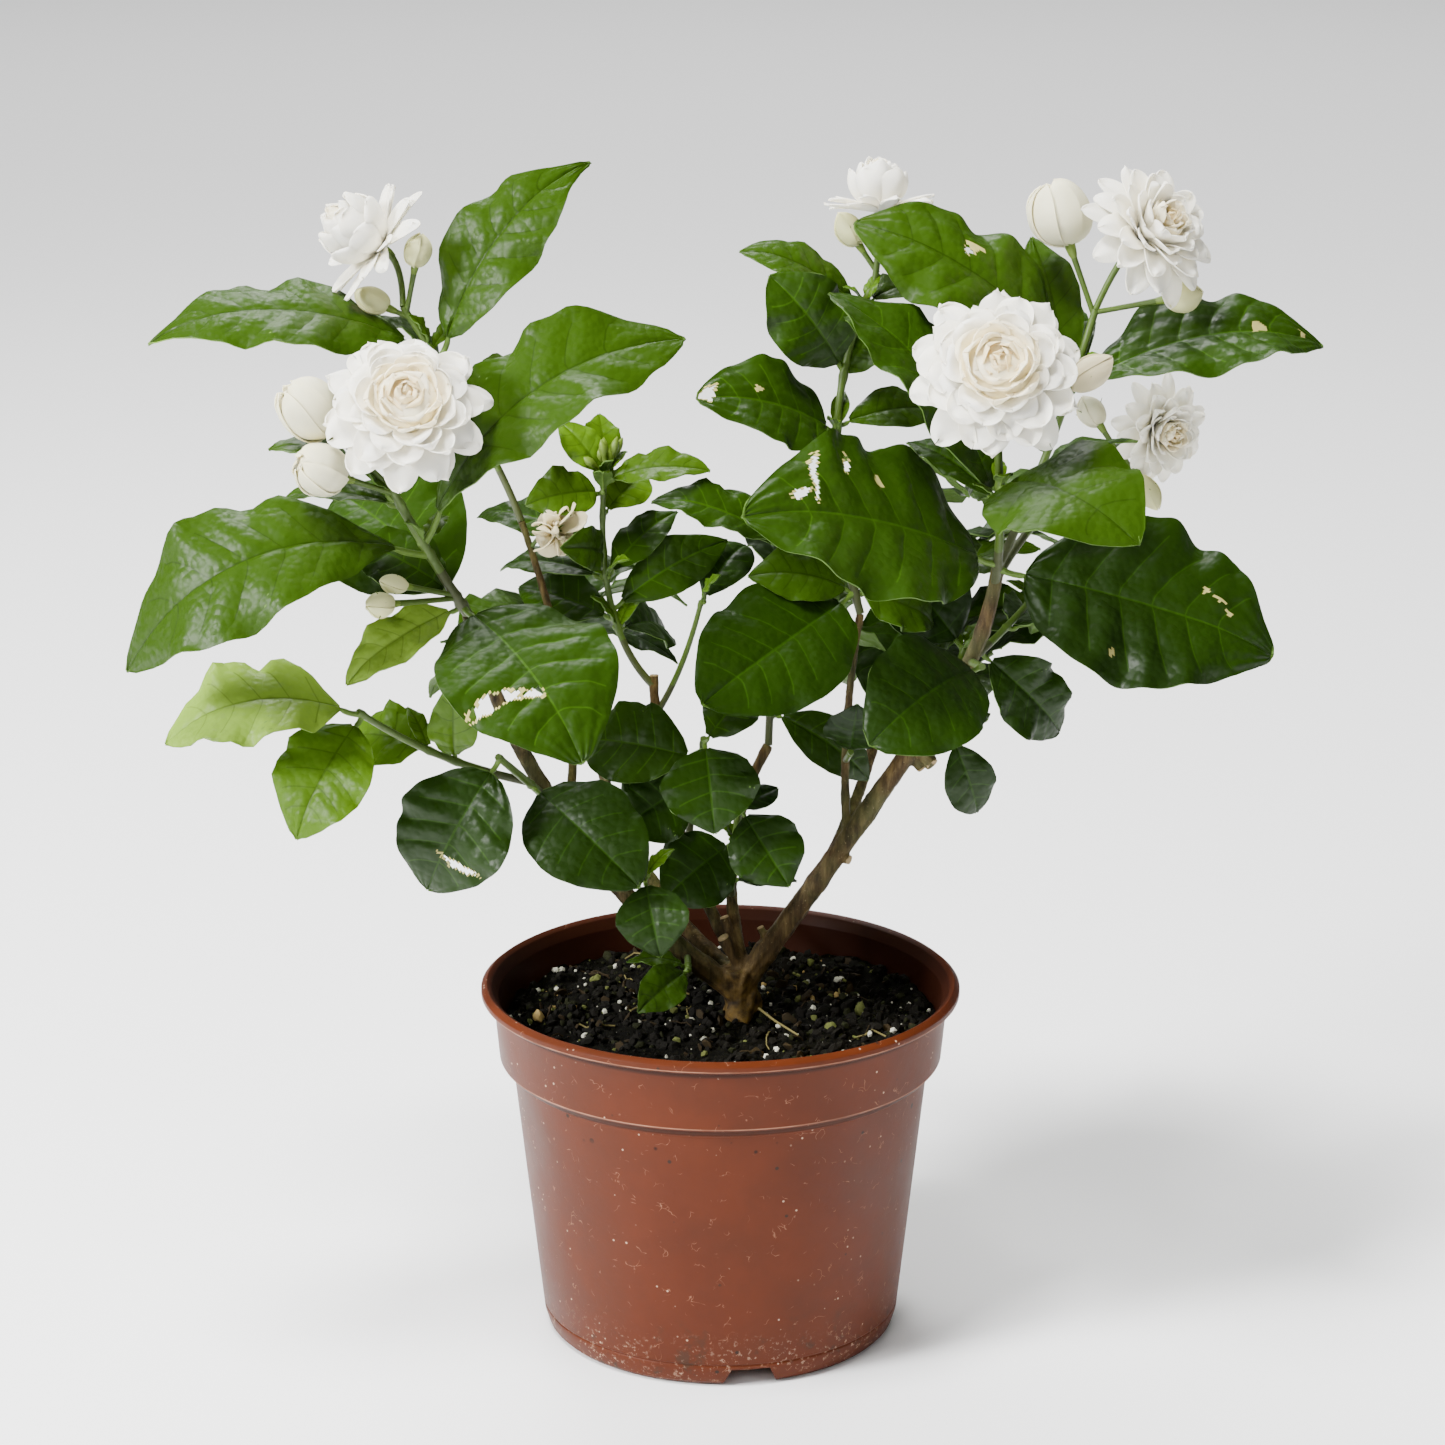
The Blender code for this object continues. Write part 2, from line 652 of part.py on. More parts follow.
def leaf_half_width(share, width):
    """Half the leaf's width at a share of its length: a petiole, then a pointed oval."""
    stalk = PETIOLE_WIDTH / 2
    if share <= PETIOLE:
        return stalk
    along = (share - PETIOLE) / (1 - PETIOLE)
    blade = width / 2 * math.sin(math.pi * along**LEAF_WAIST) ** LEAF_FULLNESS if along < 1 else 0.0
    return max(blade, 0.0 if share >= 1 else stalk)


class Blade:
    """A leaf or petal laid along its chord, from a root on its stem."""

    def __init__(self, root, chord, upper, length, width, arch, fold=LEAF_FOLD):
        self.root = root
        self.chord = chord
        self.upper = (upper - chord * upper.dot(chord)).normalized()
        self.side = self.chord.cross(self.upper)
        self.length = length
        self.width = width
        self.arch = arch
        self.fold = fold

    def point(self, along, across, half_width):
        lift = self.arch * self.length * 4 * along * (1 - along)
        lift += self.fold * abs(across) * half_width
        out = self.chord * (self.length * along) + self.upper * lift
        return self.root + (out + self.side * (across * half_width)) * MM

    def samples(self):
        """Points spread over the blade."""
        spots = ((0.3, 0), (0.5, -0.8), (0.5, 0), (0.5, 0.8), (0.75, -0.7), (0.75, 0.7), (1, 0))
        return [
            self.point(along, across, leaf_half_width(along, self.width))
            for along, across in spots
        ]

    def mesh(self, rows, thickness, margin=0.0):
        """A closed thin solid: a grid drawn out to the outline and given its thickness."""
        bm = bmesh.new()
        bmesh.ops.create_grid(bm, x_segments=2, y_segments=len(rows) - 1, size=1.0)
        steps = len(rows) - 1
        for vert in bm.verts:
            along = rows[round((vert.co.y + 1) / 2 * steps)]
            half_width = leaf_half_width(along, self.width) + margin
            vert.co = self.point(along, vert.co.x, half_width)
        bmesh.ops.remove_doubles(bm, verts=bm.verts, dist=0.00005)
        bmesh.ops.solidify(bm, geom=bm.faces[:], thickness=thickness * MM)
        return bm


LARGE_ROWS = (0.0, 0.10, 0.30, 0.55, 0.82, 1.0)
SMALL_ROWS = (0.0, 0.12, 0.38, 0.70, 1.0)
TURNS = ((0, 0), (6, 0), (-6, 0), (0, 6), (0, -6), (12, 0), (-12, 0), (0, 12), (0, -12),
         (10, 10), (-10, 10), (10, -10), (-10, -10))


def leaf_blade(line, leaf, turn=(0, 0)):
    chord = direction(leaf.heading + turn[0], leaf.rise + turn[1])
    face = math.radians(leaf.face)
    upper = Vector((0, -math.sin(face), math.cos(face)))
    root = line.spot(leaf.at) + chord * LEAF_ROOT * MM
    return Blade(root, chord, upper, leaf.length, leaf.width, leaf.arch / 100)


def skin(blade, air, first=0.16):
    """The space that a blade takes up with some air round it, past its petiole."""
    rows = (first, 0.4, 0.55, 0.7, 0.86, 1.0)
    bm = blade.mesh(rows, LEAF_THICKNESS + 2 * air, air)
    bmesh.ops.translate(bm, verts=bm.verts, vec=blade.upper * air * MM)
    tree = BVHTree.FromBMesh(bm)
    bm.free()
    return tree


def is_free(name, blade, taken):
    """Whether a blade clears all other shoots and, past its foot, those of its own."""
    wide = skin(blade, CLEARANCE)
    outer = skin(blade, 0.0, OWN_REACH)
    for owner, tree in taken:
        if owner == name:
            if outer.overlap(tree):
                return False
        elif not owner.startswith(name) and wide.overlap(tree):
            return False
    return True


def place_leaf(name, line, leaf, taken, front=()):
    """Turns the leaf aside step by step until it finds room, or gives none."""
    for turn in TURNS:
        blade = leaf_blade(line, leaf, turn)
        if is_free(name, blade, taken) and (not front or is_hidden(blade.samples(), front)):
            taken.append((name, skin(blade, 0.0)))
            return blade
    return None


def is_hidden(points, front):
    """Whether most of the points lie behind the crown's front."""
    eye = mm(*FRONT_EYE)
    behind = 0
    for point in points:
        sight = (eye - point).normalized()
        behind += any(tree.ray_cast(point, sight)[0] for tree in front)
    return behind >= HIDDEN_SHARE * len(points)


def add_leaf(blade, group, name):
    rows = SMALL_ROWS if blade.length < SMALL_LEAF else LARGE_ROWS
    thickness = max(LEAF_THICKNESS, LEAF_THINNEST * blade.length)
    return add_mesh(name, blade.mesh(rows, thickness), group)


def bloom_centre(line, bloom):
    return line.spot(bloom.at) + direction(bloom.heading, bloom.rise) * bloom.stalk * MM


def add_stalk(line, plan, end, group, name):
    start = line.spot(plan.at).lerp(end, STALK_ROOT)
    points = [start, (start + end) / 2, end]
    return tube(name, points, [TWIG_RADIUS * swell * MM for swell in STALK_SWELL], group, 0)


def rosette(centre, looks, size):
    """A double bloom: two whorls of petal tips round a dome, on a ball drawn to its rings."""
    last = len(BLOOM_RINGS) - 1
    segments = BLOOM_SEGMENTS if size >= SMALL_BLOOM else SMALL_BLOOM_SEGMENTS
    turn = looks.to_track_quat("Z", "Y").to_matrix()
    bm = bmesh.new()
    bmesh.ops.create_uvsphere(bm, u_segments=segments, v_segments=last, radius=1.0)
    for vert in bm.verts:
        ring = round(math.acos(max(-1.0, min(1.0, vert.co.z))) / math.pi * last)
        angle = math.atan2(vert.co.y, vert.co.x)
        gap = round(angle / (2 * math.pi) * segments + ring / 2) % 2
        radius, height, depth = BLOOM_RINGS[ring]
        out = radius * (1 - depth * gap) * size / 2
        vert.co = centre + turn @ mm(out * math.cos(angle), out * math.sin(angle), height * size)
    return bm


def bloom_rosette(line, bloom, air=0.0):
    looks = direction(bloom.looks_heading, bloom.looks_rise)
    return rosette(bloom_centre(line, bloom), looks, bloom.size + 2 * air)


def add_bloom(line, bloom, group, name):
    looks = direction(bloom.looks_heading, bloom.looks_rise)
    foot = bloom_centre(line, bloom) - looks * bloom.size * CALYX_DEPTH * MM
    add_stalk(line, bloom, foot, group, name + "_stalk")
    add_mesh(name, bloom_rosette(line, bloom), group)


def bud_centre(line, bud):
    return line.spot(bud.at) + direction(bud.heading, bud.rise) * bud.stalk * MM


def add_bud(line, bud, group, name):
    along = direction(bud.heading, bud.rise)
    centre = bud_centre(line, bud)
    add_stalk(line, bud, centre, group, name + "_stalk")
    turn = along.to_track_quat("Z", "Y").to_matrix()
    bm = bmesh.new()
    bmesh.ops.create_uvsphere(bm, u_segments=6, v_segments=5, radius=bud.size / 2 * MM)
    for vert in bm.verts:
        vert.co = centre + turn @ Vector((vert.co.x, vert.co.y, vert.co.z * bud.plump))
    add_mesh(name, bm, group)


def ball(centre, radius):
    bm = bmesh.new()
    bmesh.ops.create_icosphere(bm, subdivisions=2, radius=radius * MM)
    bmesh.ops.translate(bm, verts=bm.verts, vec=centre)
    tree = BVHTree.FromBMesh(bm)
    bm.free()
    return tree


def limb_skin(line):
    """The space of a limb with the clearance round it."""
    shares = [line.start + (1 - line.start) * i / 8 for i in range(9)]
    points = [line.point(share) for share in shares]
    radii = [line.radius(share) + CLEARANCE * MM for share in shares]
    group = collection("limb_skin")
    piece = tube("limb_skin", points, radii, group, 1)
    bm = bmesh.new()
    bm.from_mesh(piece.data)
    tree = BVHTree.FromBMesh(bm)
    bm.free()
    bpy.data.objects.remove(piece)
    bpy.data.collections.remove(group)
    return tree


def spare_leaves(plan, pairs, dice):
    """Leaves by rule: pairs up a stem, each turned about a quarter from the last."""
    made = []
    for pair in range(pairs):
        at = 0.2 + 0.78 * (pair + dice.uniform(0.3, 0.9)) / pairs
        first = dice.uniform(-PAIR_SPREAD, PAIR_SPREAD) + (90 if pair % 2 else 0)
        for half in range(2):
            heading = first + 180 * half
            away = math.sin(math.radians(heading))
            length = plan.leaf_size * dice.uniform(*SPARE_LENGTH)
            width = length * SPARE_LEAF_WIDTH
            rise = dice.uniform(*SPARE_RISE)
            face = dice.uniform(-SPARE_FACE_SPREAD, SPARE_FACE_SPREAD) - SPARE_FACE * away
            made.append(Leaf(at, length, width, heading, rise, face))
    return made


def spare_twigs(name, plan, line, taken, front, dice):
    """Side twigs by rule, each turned on from the last and kept where it finds room."""
    made = []
    for number in range(plan.twigs):
        at = 0.15 + 0.75 * (number + dice.uniform(0.2, 0.8)) / plan.twigs
        foot = line.spot(at)
        heading = TWIG_TURN * number + dice.uniform(-TWIG_SPREAD, TWIG_SPREAD)
        length = plan.leaf_size * dice.uniform(*TWIG_LENGTH)
        tip = foot + direction(heading, dice.uniform(*TWIG_RISE)) * length * MM
        twig = Line(foot, tip, mm(0, 0, -TWIG_SAG), TWIG_RADIUS * 1.1, TWIG_RADIUS * 0.8)
        space = limb_skin(twig)
        others = [tree for owner, tree in taken if not owner.startswith(name)]
        spots = [twig.point(share) for share in (0.4, 0.6, 0.8, 1.0)]
        if is_hidden(spots, front) and not any(space.overlap(tree) for tree in others):
            taken.append((name + "_twig", space))
            made.append(twig)
    return made


def plan_plant(lines):
    """Places every leaf: the named ones of all shoots first, then twigs and leaves by rule."""
    taken = [(name, limb_skin(line)) for name, line in lines.items() if name not in SHOOTS]
    taken += [(name + "_stem", limb_skin(lines[name])) for name in SHOOTS]
    for name, plan in SHOOTS.items():
        line = lines[name]
        for bloom in plan.blooms:
            space = bloom_rosette(line, bloom, CLEARANCE)
            taken.append((name + "_bloom", BVHTree.FromBMesh(space)))
            space.free()
        for bud in plan.buds:
            taken.append((name + "_bud", ball(bud_centre(line, bud), bud.size * 0.5)))
    placed = {name: [] for name in SHOOTS}
    twigs = {}
    for name, plan in SHOOTS.items():
        for leaf in plan.leaves:
            placed[name].append(place_leaf(name, lines[name], leaf, taken))
    front = [tree for owner, tree in taken]
    for seed, (name, plan) in enumerate(SHOOTS.items()):
        dice = random.Random(seed)
        line = lines[name]
        twigs[name] = spare_twigs(name, plan, line, taken, front, dice)
        for leaf in spare_leaves(plan, plan.pairs, dice):
            placed[name].append(place_leaf(name, line, leaf, taken, front))
        for twig in twigs[name]:
            for leaf in spare_leaves(plan, TWIG_PAIRS, dice):
                placed[name].append(place_leaf(name, twig, leaf, taken, front))
    for name in SHOOTS:
        placed[name] = [blade for blade in placed[name] if blade]
    return placed, twigs


def make_shoot(name, plan, line, blades, twigs, parts, look):
    """One mass of foliage: its stem, twigs, leaves, blooms and buds fused into one solid."""
    stem = line.solid(name, parts, STEM_RINGS, 1, look)
    group = collection(name + "_parts")
    for number, twig in enumerate(twigs):
        twig.solid(f"{name}_twig_{number}", group, TWIG_RINGS, 0)
    for number, blade in enumerate(blades):
        add_leaf(blade, group, f"{name}_leaf_{number}")
    for number, bloom in enumerate(plan.blooms):
        add_bloom(line, bloom, group, f"{name}_bloom_{number}")
    for number, bud in enumerate(plan.buds):
        add_bud(line, bud, group, f"{name}_bud_{number}")
    fuse(stem, group)
    return stem


def main():
    for old in list(bpy.data.objects):
        bpy.data.objects.remove(old)
    parts = collection(NAME)
    cutters = collection("cutters")
    plastic = material("terracotta_plastic", (0.34, 0.10, 0.05), 0.45)
    mix = material("potting_mix", (0.02, 0.014, 0.01), 0.95)
    bark = material("bark", (0.16, 0.11, 0.06), 0.8)
    green = material("leaf_green", (0.05, 0.17, 0.02), 0.35)

    make_pot(parts, cutters, plastic)
    make_soil(parts, mix)
    lines = {}
    trunk = make_trunk(lines, parts, bark)
    for name, plan in BOUGHS.items():
        grow(lines, name, plan)
    add_stubs(trunk, lines)
    for name, plan in BOUGHS.items():
        lines[name].solid(name, parts, BOUGH_RINGS, 2, bark)
    for name, plan in SHOOTS.items():
        grow(lines, name, plan)
    blades, twigs = plan_plant(lines)
    for name, plan in SHOOTS.items():
        make_shoot(name, plan, lines[name], blades[name], twigs[name], parts, green)


main()
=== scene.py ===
"""The looks of a potted Duke of Tuscany jasmine, the double-flowered Jasminum sambac.

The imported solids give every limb, leaf, bloom and bud its place. This script works the same
places out again from the same sizes and rule, and puts a finer surface there: veined leaves,
blooms of single petals, rolled buds, ridged bark, crumbly potting mix and scuffed plastic.
Sizes below are millimetres and degrees. The model itself is in metres.
"""

import json
import math
import random
from collections import namedtuple

import bmesh
import bpy
import numpy as np
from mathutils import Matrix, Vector, noise
from mathutils.bvhtree import BVHTree
from mathutils.kdtree import KDTree

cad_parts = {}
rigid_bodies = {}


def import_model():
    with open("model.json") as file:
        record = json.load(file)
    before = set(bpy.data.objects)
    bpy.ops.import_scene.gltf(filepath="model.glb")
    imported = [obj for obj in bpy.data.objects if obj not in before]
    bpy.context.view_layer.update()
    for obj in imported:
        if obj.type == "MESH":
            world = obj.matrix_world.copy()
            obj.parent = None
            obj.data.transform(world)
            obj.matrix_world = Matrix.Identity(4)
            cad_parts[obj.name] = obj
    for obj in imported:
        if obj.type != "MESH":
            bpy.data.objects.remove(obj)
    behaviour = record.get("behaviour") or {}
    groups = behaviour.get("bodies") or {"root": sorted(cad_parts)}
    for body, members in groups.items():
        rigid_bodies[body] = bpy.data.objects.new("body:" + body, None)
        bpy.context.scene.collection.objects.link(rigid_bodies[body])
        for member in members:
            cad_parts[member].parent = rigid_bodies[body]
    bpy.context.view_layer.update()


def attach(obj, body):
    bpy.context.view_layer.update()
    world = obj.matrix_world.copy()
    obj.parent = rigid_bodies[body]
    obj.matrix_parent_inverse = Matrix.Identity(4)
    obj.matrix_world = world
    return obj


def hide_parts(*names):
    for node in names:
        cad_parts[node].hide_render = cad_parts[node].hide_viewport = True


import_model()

MM = 0.001
GAP = 0.3  # between solids that touch on the real plant

# Pot and potting mix
POT_HEIGHT = 113.0
LIP_RADIUS = 75.0
LIP_DEPTH = 4.0
BAND_TOP_RADIUS = 71.2
BAND_FOOT_RADIUS = 69.4
BAND_FOOT_HEIGHT = 89.5
STEP_HEIGHT = 86.0
BODY_TOP_RADIUS = 65.2
BODY_FOOT_RADIUS = 56.4
FOOT_ROUND_HEIGHT = 5.0
FOOT_RADIUS = 54.0
WALL = 1.6
LIP_WIDTH = 3.4
SEAM_HEIGHT = 7.0
SEAM_DEPTH = 0.3
FOOT_RING_WIDTH = 6.0
FLOOR_UNDERSIDE = 6.5
FLOOR_THICKNESS = 1.8
PAD_RADIUS = 10.0
NOTCH_WIDTH = 17.0
NOTCH_TOP_WIDTH = 12.0
NOTCH_HEIGHT = 5.6
NOTCH_COUNT = 3
FRONT_NOTCH_ANGLE = -80.5
DRAIN_RADIUS = 4.0
DRAIN_RING = 30.0
DRAIN_COUNT = 6
POT_SEGMENTS = 160
SOIL_HEIGHT = 102.0

# Trunk
TRUNK_FOOT = (6, 0)
TRUNK_TOP = (7, 0, 117)
TRUNK_LINE_RADII = (8.0, 7.0)
STUB_LENGTH = 13.0

# Leaves, blooms and twigs
PETIOLE = 0.1  # share of a leaf's length
PETIOLE_WIDTH = 2.0
LEAF_THICKNESS = 0.9
LEAF_ROOT = 0.3  # from the middle line of its stem
LEAF_FOLD = 0.22
LEAF_WAIST = 0.82  # the smaller, the nearer its foot a leaf is widest
LEAF_FULLNESS = 0.75
SPARE_LEAF_WIDTH = 0.5  # of its length
# The rule by which a shoot grows on: angles in degrees, lengths as shares of its leaf size.
TWIG_TURN = 137
TWIG_SPREAD = 20
TWIG_RISE = (0, 45)
TWIG_LENGTH = (0.5, 0.85)
TWIG_SAG = 1.5
TWIG_PAIRS = 2
PAIR_SPREAD = 25
SPARE_RISE = (-25, 35)
SPARE_LENGTH = (0.75, 1.15)
SPARE_FACE = 35  # how far a leaf by rule turns towards the side it grows on
SPARE_FACE_SPREAD = 12
CLEARANCE = 1.0
SKIN_STEPS = 8  # lengths of the tube that stands for a limb and its clearance
OWN_REACH = 0.36  # share of a leaf past which it keeps clear of its own shoot's leaves
TWIG_RADIUS = 1.0
# Rings of a double bloom from its top to its calyx: radius as a share of half its diameter,
# height as a share of its diameter, and how deep the gaps between the petal tips cut in.
BLOOM_RINGS = (
    (0.00, 0.34, 0.00),
    (0.50, 0.30, 0.00),
    (0.80, 0.21, 0.14),
    (0.66, 0.08, 0.00),
    (1.04, -0.01, 0.16),
    (0.30, -0.15, 0.00),
    (0.00, -0.19, 0.00),
)
BLOOM_SEGMENTS = 18
SMALL_BLOOM = 40
SMALL_BLOOM_SEGMENTS = 14
# A leaf that grows by rule stays only where the crown's front hides it from this place.
FRONT_EYE = (0, -1157, 525)
HIDDEN_SHARE = 0.75

# A limb grows from the middle line of its parent at a share of that line's length. Its own
# line runs to its tip, and bow says how far the middle of it lies off the straight line.
Bough = namedtuple("Bough", "parent at tip bow thick thin")
BOUGHS = {
    "left_bough": Bough("trunk", 0.4, (-75, -32, 239), (-12, 11, -9), 3.2, 2.0),
    "right_bough": Bough("trunk", 0.5, (60, -5, 192), (2, 0, 2), 3.5, 2.9),
    "right_upper_bough": Bough("right_bough", 1.0, (84, -6, 247), (4, 0, -2), 2.8, 2.1),
    "riser": Bough("right_bough", 0.58, (43, 8, 229), (-2, 1, 0), 1.4, 1.2),
    "left_riser": Bough("left_bough", 0.52, (-62, 30, 253), (8, 0, -10), 1.5, 1.2),
    "centre_left_bough": Bough("trunk", 0.95, (-21, 26, 201), (-6, 2, -1), 2.0, 1.6),
    "centre_bough": Bough("trunk", 1.0, (15, 18, 184), (-7, 4, 0), 2.0, 1.6),
    "back_left_bough": Bough("trunk", 0.7, (-40, 62, 168), (-6, 7, -6), 2.6, 1.8),
    "back_right_bough": Bough("trunk", 0.7, (50, 64, 172), (5, 5, -6), 2.6, 1.8),
}

# A leaf points from its stem along heading (0 is +X, 90 is away from the front) and rise,
# face says how far its upper side turns from the sky towards the front, and arch how high
# its middle stands over the straight line to its tip, in hundredths of its length.
Leaf = namedtuple("Leaf", "at length width heading rise face arch", defaults=(12,))
# A bloom or bud stands on a stalk, and a bloom looks along its own heading and rise.
Bloom = namedtuple("Bloom", "at stalk heading rise size looks_heading looks_rise")
Bud = namedtuple("Bud", "at stalk heading rise size plump")
# A shoot is a leafy mass on one stem. Past the leaves named here it branches by a seeded
# rule into twigs, and stem and twigs bear pairs of leaves, each turned from the last.
Shoot = namedtuple(
    "Shoot",
    "parent at tip bow thick thin twigs pairs leaf_size leaves blooms buds",
    defaults=(0, 0, 40, (), (), ()),
)

